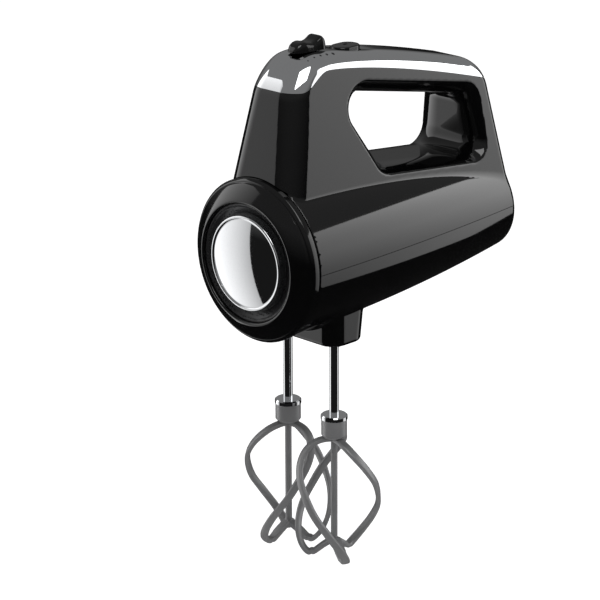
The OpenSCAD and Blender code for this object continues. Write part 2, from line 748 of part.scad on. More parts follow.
// ---- Spindles and worm wheels ----
module spindle(side) {
    from_grip() translate([spindle_x, side * spindle_y, 0]) difference() {
        union() {
            rod_z(spindle_r, spindle_bottom, spindle_top_z);
            rod_z(spindle_head_r, spindle_bottom, spindle_bottom + head_h);
            rod_z(spindle_r + 2, frame_z[0] + plate_t + clear, -wheel_h / 2);
        }
        rod_z(beater_r + running, spindle_bottom - 1, spindle_top_z + 1);
        block([-key_t / 2 - clear, key_t / 2 + clear], [-BIG / 20, BIG / 20],
            [spindle_bottom - 1, key_bottom + key_h + clear]);
    }
}
wheel_root_r = wheel_pitch_r - 1.2 * gear_module;
wheel_tip_r = wheel_pitch_r + 0.9 * gear_module;
wheel_helix = worm_pitch / (PI * worm_pitch_d * wheel_pitch_r) * 180 / PI;
module worm_wheel(side, phase) {
    from_grip() translate([spindle_x, side * spindle_y, -wheel_h / 2]) difference() {
        union() {
            linear_extrude(wheel_h, twist = -wheel_helix * wheel_h, slices = 4)
                rotate(phase + wheel_helix * -wheel_h / 2) polygon([
                    for (i = [0 : wheel_teeth - 1], p = [
                        [-0.85, wheel_root_r], [-0.6, wheel_pitch_r], [-0.3, wheel_tip_r],
                        [0.3, wheel_tip_r], [0.6, wheel_pitch_r], [0.85, wheel_root_r]
                    ]) let (a = i * 360 / wheel_teeth, w = p[0] * gear_module)
                        [p[1] * cos(a) - w * sin(a), p[1] * sin(a) + w * cos(a)]
                ]);
            rod_z(7.5, wheel_h, wheel_h + 2, fn = 48);
        }
        rod_z(spindle_r, -1, wheel_h + 3, fn = 48);
    }
}

// ---- Beaters ----
module at_beater(side) { from_grip() translate([spindle_x, side * spindle_y, 0]) children(); }
module beater_shaft(side) {
    at_beater(side) {
        rod_z(beater_r, hub_top - 6, shaft_top - 1);
        translate([0, 0, shaft_top - 1]) cylinder(r1 = beater_r, r2 = beater_r - 0.8, h = 1, $fn = ROUND);
        block([-key_t / 2, key_t / 2], [-key_w / 2, key_w / 2], [key_bottom, key_bottom + key_h]);
    }
}
module beater_cap(side) {
    at_beater(side) difference() {
        translate([0, 0, hub_top]) rotate_extrude($fn = ROUND) polygon([
            [0, 0], [hub_d / 2, 0], [hub_d / 2, cap_h - 0.6], [hub_d / 2 - 0.6, cap_h], [0, cap_h]
        ]);
        rod_z(beater_r, hub_top - 1, cap_top + 1);
    }
}
module beater_hub(side) {
    at_beater(side) difference() {
        translate([0, 0, hub_bottom]) rotate_extrude($fn = ROUND) polygon([
            [0, 0], [hub_d / 2 - 1.4, 0], [hub_d / 2 - 0.3, 1.4], [hub_d / 2 - 0.3, hub_h], [0, hub_h]
        ]);
        rod_z(beater_r, hub_top - 6, hub_top + 1);
    }
}

// Path of a blade, each point [radius, depth below the hub]: out from the rod, round, in to the tip
// and back up to the rod's end. The last two points are the web.
widest = 0.56;              // share of the cage's height at which the blades are widest
foot_rise = 9;              // height of the rod's end above the blades' tips
shoulder = 0.8;             // less than 1 makes the cage's shoulders squarer
path_r = cage_r - blade_t / 2;
wide_z = cage_h * widest;
cage_path = [
    for (a = [4, 14, 26, 40, 55, 72, 90])
        [path_r * pow(sin(a), shoulder), blade_t / 2 + (wide_z - blade_t / 2) * (1 - pow(cos(a), shoulder))],
    for (a = [72, 54, 36, 20, 8]) [foot_r + (path_r - foot_r) * sin(a), wide_z + (cage_h - wide_z) * cos(a)],
    [foot_r, cage_h], [foot_r / 2, cage_h - foot_rise / 2 - 0.6], [1, cage_h - foot_rise]
];
path_n = len(cage_path);
first_web = path_n - 2;
function path_turn(i) = blade_twist * (i >= first_web ? 1 : cage_path[i][1] / cage_h);
function path_way(i) = let (d = cage_path[min(i + 1, path_n - 1)] - cage_path[max(i - 1, 0)]) d / norm(d);
module blade() {
    corners = [[-1, -1], [1, -1], [1, 1], [-1, 1]];
    polyhedron(
        points = [
            for (i = [0 : path_n - 1], c = corners) let (
                way = path_way(i),
                r = cage_path[i][0] + c[0] * blade_t / 2 * way[1],
                depth = cage_path[i][1] - c[0] * blade_t / 2 * way[0],
                w = c[1] * blade_w / 2,
                a = path_turn(i)
            ) [r * cos(a) - w * sin(a), r * sin(a) + w * cos(a), -depth]
        ],
        faces = concat(
            [[3, 2, 1, 0]],
            [for (i = [0 : path_n - 2], k = [0 : 3]) [4 * i + k, 4 * i + (k + 1) % 4, 4 * i + 4 + k]],
            [for (i = [0 : path_n - 2], k = [0 : 3]) [4 * i + 4 + k, 4 * i + (k + 1) % 4, 4 * i + 4 + (k + 1) % 4]],
            [[for (k = [0 : 3]) 4 * (path_n - 1) + k]]
        )
    );
}
module beater_cage() {
    rod_z(rod_d / 2, hub_bottom - cage_h + foot_rise - 1, hub_bottom);
    for (i = [0 : 2]) translate([0, 0, hub_bottom]) rotate([0, 0, near_phase + i * 120]) blade();
}
near_phase = 15;            // direction of the first blade's top

module near_spindle() { color("#a9adb2") spindle(-1); }
module far_spindle() { color("#a9adb2") spindle(1); }
module near_worm_wheel() { color("#e9e4d2") worm_wheel(-1, 90 + 180 / wheel_teeth); }
module far_worm_wheel() { color("#e9e4d2") worm_wheel(1, 270); }
module near_beater_shaft() { color("#dcdee0") beater_shaft(-1); }
module far_beater_shaft() { color("#dcdee0") beater_shaft(1); }
module near_beater_cap() { color("#e6e8ea") beater_cap(-1); }
module far_beater_cap() { color("#e6e8ea") beater_cap(1); }
module near_beater_hub() { color("#6f7275") beater_hub(-1); }
module far_beater_hub() { color("#6f7275") beater_hub(1); }
module near_beater_cage() { color("#6f7275") at_beater(-1) beater_cage(); }
module far_beater_cage() { color("#6f7275") at_beater(1) rotate([0, 0, 60]) mirror([0, 1, 0]) beater_cage(); }

// ---- Controls that move ----
lever_base_z = handle_top + clear;
lever_profile = [[27, 0.8], [31, 4.4], [34, 5.4], [38, 4.2], [41.5, 4.8], [44.5, 7], [46.5, 6.4]];
module lever_slice(p) {
    w = 7.4;
    top = w - 0.4 * p[1];
    translate([p[0], 0, lever_base_z]) rotate([90, 0, 90]) linear_extrude(EPS)
        polygon([[-w, 0], [w, 0], [top, p[1]], [-top, p[1]]]);
}
module speed_lever() {
    color("#141415") from_grip() for (i = [0 : len(lever_profile) - 2]) hull() {
        lever_slice(lever_profile[i]);
        lever_slice(lever_profile[i + 1]);
    }
}
module speed_slider() {
    color("#3a3a3c") from_grip() {
        block([31, 51], [-7.5, 7.5], slider_z);
        block(stem_x, [-stem_w / 2, stem_w / 2], [slider_z[1], lever_base_z]);
    }
}
button_flange_z = button_z - roof_under - 2;
module turbo_button() {
    crown = 1.4;
    color("#141415") from_grip() {
        oval(button_l, button_w, button_flange_z, button_z + crown - 1 + EPS, button_x);
        oval(button_l - 1.6, button_w - 1.6, button_z + crown - 1, button_z + crown, button_x);
        oval(button_l + 2, button_w + 2, button_flange_z - 1.2, button_flange_z + EPS, button_x);
        rod_z(1.6, switch_top + turbo_travel + 0.4, button_flange_z - 1, button_x);
    }
}
module turbo_spring() {
    color("#c8ccd0") from_grip() translate([button_x, 0, 0])
        coil_spring(5.2, 0.9, board_top, button_flange_z - 1.2, 3);
}
fork_z = [24, 27];
rod_x_pos = 22;
module ejector_fork() {
    pin_r = beater_r - 0.35;
    color("#cfd2d4") from_grip() {
        block([spindle_x - 3.5, spindle_x + 3.5], [-spindle_y - 4, spindle_y + 4], fork_z);
        block([rod_x_pos - 2.5, spindle_x - 3], [-3.5, 3.5], fork_z);
        spindle_spots() rod_z(pin_r, shaft_top + ejector_travel + 0.5, fork_z[0] + 0.5);
        rod_z(2, fork_z[1] - 0.5, handle_top - 13, rod_x_pos);
    }
}
module ejector_spring() {
    color("#c8ccd0") from_grip() translate([spindle_x, 0, 0]) coil_spring(3.4, 1.2, frame_z[1], fork_z[0], 5);
}

upper_housing();
lower_housing();
top_trim();
front_ring();
front_recess();
front_disc();
cord_inlet();
heel_pad();
gearbox_frame();
rear_bracket();
front_bearing();
rear_bearing();
motor_stator();
field_coils();
brush_holders();
carbon_brushes();
brush_springs();
motor_bolts();
frame_screws();
housing_screws();
spindle_bushes();
speed_switch();
turbo_switch();
speed_board();
motor_shaft();
armature_core();
armature_winding();
commutator();
cooling_fan();
worm();
near_spindle();
near_worm_wheel();
near_beater_shaft();
near_beater_cap();
near_beater_hub();
near_beater_cage();
far_spindle();
far_worm_wheel();
far_beater_shaft();
far_beater_cap();
far_beater_hub();
far_beater_cage();
speed_lever();
speed_slider();
turbo_button();
turbo_spring();
ejector_fork();
ejector_spring();
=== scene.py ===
"""Looks of a hand mixer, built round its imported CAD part.

The smooth housings are cut from one distance field, worked out with numpy in millimetres in the
mixer's own layout: the origin is the middle of the front ring, +X is towards the rear and +Z is up.
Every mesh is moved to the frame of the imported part, in metres, when it is made.
"""

import json
import logging
import math
from dataclasses import dataclass
from enum import Enum
from typing import Callable

import bpy
import numpy as np
import openvdb
from mathutils import Matrix, Vector

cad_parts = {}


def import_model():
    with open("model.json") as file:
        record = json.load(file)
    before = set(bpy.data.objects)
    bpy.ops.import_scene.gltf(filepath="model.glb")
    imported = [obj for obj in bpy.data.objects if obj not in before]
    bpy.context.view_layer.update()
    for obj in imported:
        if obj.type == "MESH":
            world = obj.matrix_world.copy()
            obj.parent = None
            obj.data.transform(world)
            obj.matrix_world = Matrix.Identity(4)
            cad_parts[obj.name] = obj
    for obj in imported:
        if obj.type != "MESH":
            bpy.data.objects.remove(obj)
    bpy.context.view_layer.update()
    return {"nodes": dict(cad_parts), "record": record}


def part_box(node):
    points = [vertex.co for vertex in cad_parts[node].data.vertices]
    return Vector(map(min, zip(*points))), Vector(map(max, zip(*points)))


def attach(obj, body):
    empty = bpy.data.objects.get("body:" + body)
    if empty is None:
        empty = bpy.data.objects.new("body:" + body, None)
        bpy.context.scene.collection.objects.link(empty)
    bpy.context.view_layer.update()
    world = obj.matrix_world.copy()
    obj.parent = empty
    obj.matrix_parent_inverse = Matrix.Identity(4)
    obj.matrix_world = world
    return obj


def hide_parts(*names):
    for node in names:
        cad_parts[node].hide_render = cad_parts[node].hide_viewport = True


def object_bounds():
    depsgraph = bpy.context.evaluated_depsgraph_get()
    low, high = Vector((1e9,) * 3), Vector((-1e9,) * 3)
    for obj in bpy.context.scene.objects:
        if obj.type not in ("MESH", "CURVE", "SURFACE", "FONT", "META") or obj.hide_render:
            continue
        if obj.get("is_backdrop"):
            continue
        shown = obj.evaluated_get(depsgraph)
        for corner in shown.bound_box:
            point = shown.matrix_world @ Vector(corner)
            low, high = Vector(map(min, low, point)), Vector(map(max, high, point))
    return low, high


log = logging.getLogger("hand_mixer")
Array = np.ndarray
MM = 0.001


# ---- Shader maths ----
class Sock:
    """One value in a material, with Python's operators adding its Math nodes."""

    def __init__(self, mat: "Shade", link: bpy.types.NodeSocket) -> None:
        """Wraps an output socket of a material."""
        self.mat, self.link = mat, link

    def _op(self, name: str, first: object, second: object = None) -> "Sock":
        """A Math node on one or two values."""
        values = {0: first} if second is None else {0: first, 1: second}
        return self.mat.node("ShaderNodeMath", {"operation": name}, values)

    def __add__(self, other: object) -> "Sock":
        """self + other."""
        return self._op("ADD", self, other)

    def __sub__(self, other: object) -> "Sock":
        """self - other."""
        return self._op("SUBTRACT", self, other)

    def __rsub__(self, other: object) -> "Sock":
        """other - self."""
        return self._op("SUBTRACT", other, self)

    def __mul__(self, other: object) -> "Sock":
        """self * other."""
        return self._op("MULTIPLY", self, other)

    __radd__, __rmul__ = __add__, __mul__


class Shade:
    """A material being built from nodes round one Principled shader."""

    def __init__(self, name: str) -> None:
        """Starts an empty node material.

        Args:
            name: The material's name.
        """
        self.material = bpy.data.materials.new(name)
        self.material.use_nodes = True
        self.tree = self.material.node_tree
        self.tree.nodes.clear()

    def node(
        self, kind: str, settings: dict | None = None, values: dict | None = None, out: int | str = 0
    ) -> Sock:
        """Adds one node.

        Args:
            kind: The node's type.
            settings: Its properties, set first; "stops" is a colour ramp's list of (place, grey or colour).
            values: Its inputs by name or number, each a value or a Sock.
            out: The output wanted.

        Returns:
            The wanted output.
        """
        n = self.tree.nodes.new(kind)
        for key, value in (settings or {}).items():
            if key == "stops":
                ramp = n.color_ramp
                while len(ramp.elements) < len(value):
                    ramp.elements.new(1.0)
                for element, (place, colour) in zip(ramp.elements, value):
                    element.position = place
                    element.color = (colour,) * 3 + (1.0,) if isinstance(
                        colour, float
                    ) else tuple(colour) + (1.0,)
            else:
                setattr(n, key, value)
        for key, value in (values or {}).items():
            if isinstance(value, Sock):
                self.tree.links.new(value.link, n.inputs[key])
            elif isinstance(value, tuple) and n.inputs[key].type == "RGBA":
                n.inputs[key].default_value = (*value, 1.0)
            else:
                n.inputs[key].default_value = value
        return Sock(self, n.outputs[out])

    def place(self, scale: tuple[float, float, float] = (1.0, 1.0, 1.0)) -> Sock:
        """Object coordinates, scaled per axis."""
        coords = self.node("ShaderNodeTexCoord", out="Object")
        return self.node("ShaderNodeMapping", {}, {"Vector": coords, "Scale": scale})

    def noise(
        self, scale: float, detail: float = 3.0, stretch: tuple[float, float, float] = (1.0, 1.0, 1.0)
    ) -> Sock:
        """Noise of that many waves a metre, stretched per axis.

        Args:
            scale: Waves a metre.
            detail: Finer layers added to it.
            stretch: Scale along each axis.

        Returns:
            The noise, from 0 to 1.
        """
        return self.node(
            "ShaderNodeTexNoise", {}, {"Vector": self.place(stretch), "Scale": scale, "Detail": detail}
        )

    def spread(self, value: Sock, low: float, high: float) -> Sock:
        """A value of 0 to 1 brought to low to high."""
        return value * (high - low) + low

    def tint(self, value: Sock, dark: tuple, light: tuple) -> Sock:
        """A colour between two, by a value of 0 to 1."""
        return self.node("ShaderNodeMix", {"data_type": "RGBA"}, {0: value, 6: dark, 7: light}, out=2)

    def bump(self, height: Sock, strength: float, distance: float) -> Sock:
        """A bump of that height in metres."""
        return self.node("ShaderNodeBump", {}, {"Height": height, "Strength": strength, "Distance": distance})

    def done(self, **values: object) -> bpy.types.Material:
        """Adds the Principled shader with these inputs and the output.

        Args:
            values: Its inputs, with _ for a space.

        Returns:
            The finished material.
        """
        named = {key.replace("_", " "): value for key, value in values.items()}
        shader = self.node("ShaderNodeBsdfPrincipled", {}, named)
        output = self.tree.nodes.new("ShaderNodeOutputMaterial")
        self.tree.links.new(shader.link, output.inputs[0])
        return self.material


@dataclass(frozen=True)
class Plastic:
    """Moulded plastic: a faint unevenness of colour, shine and surface."""

    name: str
    dark: tuple
    light: tuple
    rough: tuple[float, float] = (0.08, 0.14)
    grain: float = 900.0
    depth: float = 0.00001
    coat: float = 0.0

    def make(self) -> bpy.types.Material:
        """The finish as a material.

        Returns:
            The material.
        """
        m = Shade(self.name)
        cloud, fine = m.noise(28.0), m.noise(self.grain, 2.0)
        return m.done(
            Base_Color=m.tint(cloud, self.dark, self.light),
            Roughness=m.spread(cloud * 0.6 + fine * 0.4, *self.rough),
            Normal=m.bump(fine, 0.25, self.depth),
            Coat_Weight=self.coat,
            Coat_Roughness=0.04,
            IOR=1.5,
        )


@dataclass(frozen=True)
class Metal:
    """Metal with fine marks along an axis, from polished plating to turned or brushed bare metal."""

    name: str
    dark: tuple
    light: tuple
    rough: tuple[float, float]
    stretch: tuple[float, float, float] = (1.0, 1.0, 1.0)
    grain: float = 700.0
    depth: float = 0.00001
    metallic: float = 1.0

    def make(self) -> bpy.types.Material:
        """The finish as a material.

        Returns:
            The material.
        """
        m = Shade(self.name)
        cloud, marks = m.noise(45.0), m.noise(self.grain, 4.0, self.stretch)
        return m.done(
            Base_Color=m.tint(cloud * 0.5 + marks * 0.5, self.dark, self.light),
            Roughness=m.spread(cloud * 0.5 + marks * 0.5, *self.rough),
            Metallic=self.metallic,
            Normal=m.bump(marks, 0.3, self.depth),
        )


class Axis(Enum):
    """The direction along which a banded finish repeats."""

    X = "X"
    Y = "Y"
    Z = "Z"


@dataclass(frozen=True)
class Banded:
    """A finish in regular bands, such as stacked laminations, wound wire or a printed board's tracks."""

    name: str
    dark: tuple
    light: tuple
    pitch: float
    along: Axis
    rough: tuple[float, float] = (0.3, 0.5)
    metallic: float = 1.0
    wobble: float = 0.6

    def make(self) -> bpy.types.Material:
        """The finish as a material: a sine wave across the bands, slightly distorted.

        Returns:
            The material.
        """
        m = Shade(self.name)
        wave = m.node(
            "ShaderNodeTexWave",
            {"wave_type": "BANDS", "bands_direction": self.along.value},
            {"Vector": m.place(), "Scale": 0.3142 / self.pitch, "Distortion": self.wobble, "Detail": 1.0},
            out="Fac",
        )
        return m.done(
            Base_Color=m.tint(wave, self.dark, self.light),
            Roughness=m.spread(m.noise(60.0), *self.rough),
            Metallic=self.metallic,
            Normal=m.bump(wave, 0.5, self.pitch * 0.2),
        )


@dataclass(frozen=True)
class Dimpled:
    """Dull plastic pricked with a fine pattern of round holes, the holes painted darker as painted shade."""

    name: str
    dark: tuple
    light: tuple
    pitch: float

    def make(self) -> bpy.types.Material:
        """The finish as a material: the distance to the nearest cell centre gives each hole, whose darker
        colour is painted shade.

        Returns:
            The material.
        """
        m = Shade(self.name)
        cells = m.node(
            "ShaderNodeTexVoronoi", {}, {"Vector": m.place(), "Scale": 1.0 / self.pitch, "Randomness": 0.35}
        )
        hole_and_painted_shade = m.node("ShaderNodeValToRGB", {"stops": [(0.2, 0.0), (0.34, 1.0)]}, {0: cells})
        return m.done(
            # Base colour: the holes get the dark colour, painted shade inside them.
            Base_Color=m.tint(hole_and_painted_shade, self.dark, self.light),
            Roughness=m.spread(hole_and_painted_shade, 0.7, 0.34),
            Normal=m.bump(hole_and_painted_shade, 0.8, 0.0004),
        )


FINISHES = {
    "black_housing": Plastic(
        "gloss_black_moulding", (0.0012, 0.0012, 0.0013), (0.0022, 0.0022, 0.0024), (0.04, 0.08), coat=0.35
    ),
    "black_trim": Plastic(
        "gloss_black_trim", (0.0012, 0.0012, 0.0013), (0.0022, 0.0022, 0.0024), (0.06, 0.12), coat=0.2
    ),
    # The dark colour is painted shade inside the pricked holes.
    "black_matte": Dimpled("pricked_black", (0.002, 0.002, 0.002), (0.012, 0.012, 0.013), 0.0017),
    "black_rubber": Plastic(
        "dull_rubber", (0.018, 0.018, 0.018), (0.035, 0.035, 0.034), (0.55, 0.8), 500.0, 0.00008
    ),
    "bright_chrome": Metal(
        "bright_plating", (0.74, 0.75, 0.77), (0.84, 0.85, 0.86), (0.02, 0.06), depth=0.000002
    ),
    "satin_metal": Metal(
        "satin_coating", (0.2, 0.2, 0.204), (
            0.32, 0.32, 0.325
        ), (0.34, 0.5), grain=2600.0, depth=0.00002, metallic=0.45
    ),
    "machined_steel": Metal(
        "turned_steel", (0.42, 0.43, 0.45), (0.62, 0.63, 0.64), (0.18, 0.36), (1.0, 1.0, 6.0)
    ),
    "cast_frame": Metal(
        "cast_alloy", (0.48, 0.49, 0.5), (0.66, 0.66, 0.67), (0.4, 0.62), grain=420.0, depth=0.00006
    ),
    "laminated_iron": Banded(
        "stacked_iron", (0.1, 0.1, 0.105), (0.32, 0.32, 0.33), 0.0007, Axis.X, wobble=0.1
    ),
    "copper_wire": Banded("wound_copper", (0.35, 0.13, 0.05), (0.8, 0.38, 0.2), 0.0008, Axis.Y, (0.2, 0.4)),
    "bronze": Metal("sintered_bronze", (0.4, 0.27, 0.13), (0.62, 0.44, 0.24), (0.35, 0.55), grain=900.0),
    "commutator_copper": Metal(
        "commutator_bars", (0.5, 0.24, 0.13), (0.78, 0.42, 0.26), (0.2, 0.4), (8.0, 1.0, 1.0)
    ),
    "carbon": Plastic(
        "pressed_carbon", (0.01, 0.01, 0.01), (0.04, 0.04, 0.042), (0.4, 0.65), 1500.0, 0.00004
    ),
    "brass_clip": Metal("pressed_brass", (0.6, 0.43, 0.15), (0.82, 0.62, 0.28), (0.2, 0.4)),
    "zinc_screw": Metal("zinc_plating", (0.5, 0.51, 0.54), (0.72, 0.73, 0.74), (0.22, 0.4), grain=1100.0),
    "spring_steel": Metal("spring_wire", (0.4, 0.41, 0.43), (0.66, 0.67, 0.68), (0.15, 0.3), (1.0, 1.0, 5.0)),
    "nylon": Plastic("natural_nylon", (0.62, 0.58, 0.46), (0.76, 0.73, 0.62), (0.35, 0.55), 700.0, 0.00003),
    "green_board": Banded(
        "printed_board", (0.01, 0.1, 0.04), (0.03, 0.19, 0.08), 0.003, Axis.Y, (0.3, 0.5), 0.0, 6.0
    ),
    "switch_body": Plastic("cream_moulding", (0.55, 0.5, 0.4), (0.68, 0.64, 0.54), (0.3, 0.5)),
    "dark_switch": Plastic("dark_moulding", (0.02, 0.023, 0.027), (0.045, 0.05, 0.055), (0.3, 0.5)),
    "mark_ink": Plastic("mark_ink", (0.012, 0.012, 0.014), (0.02, 0.02, 0.022), (0.4, 0.5)),
}
MADE: dict[str, bpy.types.Material] = {}


def finish_of(slot: str) -> bpy.types.Material:
    """The material of a slot, made once.

    Args:
        slot: The slot, a key of FINISHES.

    Returns:
        The slot's material.
    """
    if slot not in MADE:
        MADE[slot] = FINISHES[slot].make()
    return MADE[slot]


# ---- Fields: negative inside, in millimetres ----
Field = Callable[[Array], Array]


def both(a: Array, b: Array, r: float | Array) -> Array:
    """What two fields share.

    Its edge rounded to radius r: the larger, with a quarter circle where both are near.
    """
    return np.minimum(np.maximum(a, b), -r) + np.hypot(np.maximum(a + r, 0.0), np.maximum(b + r, 0.0))


def either(a: Array, b: Array, r: float | Array) -> Array:
    """Two fields together, with a fillet of radius r between them."""
    return -both(-a, -b, r)


def smooth_step(t: Array) -> Array:
    """0 to 1 with level ends: 3t^2 - 2t^3, held outside 0 to 1."""
    t = np.clip(t, 0.0, 1.0)
    return t * t * (3.0 - 2.0 * t)


def slope(shape: Field, p: Array, step: float = 0.05) -> Array:
    """A field's gradient at points, by differences across each axis.

    Args:
        shape: The field.
        p: The points, as rows of x, y and z in mm.
        step: Distance to each side at which the field is read, in mm.

    Returns:
        A row of three slopes for each point.
    """
    out = np.empty_like(p)
    for axis in range(3):
        d = np.zeros(3)
        d[axis] = step
        out[:, axis] = (shape(p + d) - shape(p - d)) / (2.0 * step)
    return out


@dataclass
class Layout:
    """The mixer's main sizes, in millimetres, and the fields of its moulded shell."""

    ring_r: float = 44.0
    barrel_r0: float = 43.0
    barrel_l: float = 173.0
    bow: float = 0.0004
    rake: float = 0.165
    front_x: float = 4.6
    handle_top: float = 105.6
    side_ref_z: float = 87.8
    column_half_w: float = 18.6
    rear_half_w: float = 16.2
    side_lean: float = math.radians(7.0)
    rear_lean: float = math.radians(9.0)
    spindle_x: float = 40.6
    spindle_y: float = 17.5
    nose_half: tuple[float, float] = (13.0, 29.5)
    nose_bottom: float = -49.5
    button_x: float = 67.0
    lip: float = 15.0
    seam: float = 0.15

    def barrel_r(self, x: Array | float) -> Array | float:
        """The barrel's radius at a length: it shrinks with the square of x."""
        return self.barrel_r0 - self.bow * x * x

    def rear_x(self, z: Array | float) -> Array | float:
        """Where the leaning rear face is at a height."""
        return self.barrel_l - self.rake * z

    def arch(self, x: Array | float) -> Array | float:
        """Height of the handle's arched top at a length."""
        return self.handle_top - 0.0274 * np.abs(x - 38.0) ** 1.41

    def half_width(self, x: Array, z: Array) -> Array:
        """Half width of the handle: the side faces lean in and draw together to the rear.

        Args:
            x: Lengths along the barrel, in mm.
            z: Heights, in mm.

        Returns:
            The half widths, in mm.
        """
        front = self.column_half_w + (self.side_ref_z - z) * math.tan(self.side_lean)
        rear = self.rear_half_w + (self.side_ref_z - z) * math.tan(self.rear_lean)
        along = (x - 10.8) / (160.0 - 10.8)
        return front + (rear - front) * along

    def trim_line(self, x: Array) -> Array:
        """Height of the border between trim and housing.

        Low at the front, then high and falling to the rear.

        Args:
            x: Lengths along the barrel, in mm.

        Returns:
            The border's heights, in mm.
        """
        side, front, end = self.handle_top - 7.9, self.handle_top - 16.7, self.handle_top - 32.5
        back = side - (side - end) * (np.maximum(x - 38.0, 0.0) / (self.barrel_l - 17.0 - 38.0)) ** 1.35
        return front + (back - front) * smooth_step((x - 17.0) / 20.0)

    def barrel(self, p: Array) -> Array:
        """The barrel: a bowed cylinder between the ring's back and the leaning rear face, its rim rounded.

        Args:
            p: The points, as rows of x, y and z in mm.

        Returns:
            The distance outside the shape at each point, negative inside it.
        """
        x, y, z = p.T
        rear = (x - self.rear_x(z)) / math.hypot(1.0, self.rake)
        round_part = both(np.hypot(y, z) - self.barrel_r(x), rear, 4.6)
        return both(round_part, self.front_x - x, 0.3)

    def handle(self, p: Array) -> Array:
        """The handle without its opening: side faces under an arch that is rounded at both ends.

        Args:
            p: The points, as rows of x, y and z in mm.

        Returns:
            The distance outside the shape at each point, negative inside it.
        """
        x, y, z = p.T
        side = (np.abs(y) - self.half_width(x, z)) * math.cos(self.side_lean)
        front = (2.5 + 0.2 * (z - 45.0) - x) / math.hypot(1.0, 0.2)
        rear = (x - self.rear_x(z)) / math.hypot(1.0, self.rake)
        dish = 0.9 * np.exp(-(((x - self.button_x) / 12.5) ** 4) - (y / 9.5) ** 4)
        top = z - self.arch(x) + dish
        profile = both(both(top, front, 18.0), rear, 13.2)
        edge = 8.5 - 3.5 * smooth_step((x - 142.0) / 16.0) + 3.5 * smooth_step((30.0 - x) / 14.0)
        return both(both(side, profile, edge), 4.0 - z, 0.3)

    def opening(self, p: Array) -> Array:
        """The finger opening: a rounded four-sided outline whose corners move inwards with the depth.

        At each depth the outline is four lines tangent to corner circles; the circles go from those of
        the faces to those of the throat as 1 - (1 - depth / lip)^2.2. Between a corner's two tangents
        the distance is that to its circle, and elsewhere it is that to the nearest line.

        Args:
            p: the points, as rows of x, y and z in mm.

        Returns:
            The distance outside the opening's outline, which is negative inside it.
        """
        x, y, z = p.T
        top, low_z = self.handle_top, self.barrel_r(146.0) - 1.5
        face = [(63.0, top - 31.6, 14.0), (140.0, top - 44.1, 12.0), (143.5, low_z + 6.5, 10.5)]
        face.append((78.0, self.barrel_r(80.0) - 1.5 + 9.5, 13.0))
        throat = [(66.0, top - 35.0, 9.0), (139.0, top - 48.5, 8.5), (141.0, low_z + 8.0, 8.5)]
        throat.append((82.0, self.barrel_r(80.0) - 1.5 + 9.0, 9.0))
        depth = np.clip((self.half_width(x, z) - np.abs(y)) / self.lip, -0.1, 1.0)
        share = 1.0 - (1.0 - depth) ** 2.2
        rings = [[f + share * (t - f) for f, t in zip(a, b)] for a, b in zip(face, throat)]
        lines, along = [], []
        for (ax, az, ar), (bx, bz, br) in zip(rings, rings[1:] + rings[:1]):
            dx, dz = bx - ax, bz - az
            length = np.hypot(dx, dz)
            ux, uz = dx / length, dz / length
            lean = (ar - br) / length
            level = np.sqrt(1.0 - lean * lean)
            nx, nz = -uz * level + ux * lean, ux * level + uz * lean
            lines.append((x - ax) * nx + (z - az) * nz - ar)
            along.append((nz, -nx))
        gap = np.maximum.reduce(lines)
        for (cx, cz, radius), (bx, bz), (ax, az) in zip(rings, along[-1:] + along[:-1], along):
            past = (x - cx) * bx + (z - cz) * bz > 0.0
            short = (x - cx) * ax + (z - cz) * az < 0.0
            gap = np.where(past & short, np.hypot(x - cx, z - cz) - radius, gap)
        return gap

    def shell(self, p: Array) -> Array:
        """Barrel and handle in one, with the opening cut out and its edge eased."""
        body = either(self.barrel(p), self.handle(p), 1.0)
        return both(body, -self.opening(p), 0.9)

    def grip(self, p: Array) -> Array:
        """The handle alone with the opening cut out, for the trim."""
        return both(self.handle(p), -self.opening(p), 0.9)

    def nose(self, p: Array) -> Array:
        """The nose under the barrel: a block with rounded corners and a rounded lower edge.

        Args:
            p: The points, as rows of x, y and z in mm.

        Returns:
            The distance outside the shape at each point, negative inside it.
        """
        x, y, z = p.T
        draft = (z - self.nose_bottom) * 0.06
        wide = both(
            np.abs(x - self.spindle_x) - self.nose_half[0] - draft, np.abs(y) - self.nose_half[1] - draft, 9.0
        )
        return both(wide, self.nose_bottom - z, 1.8)

    def lower(self, p: Array) -> Array:
        """Barrel and nose in one, with a fillet between them."""
        return either(self.barrel(p), self.nose(p), 2.0)


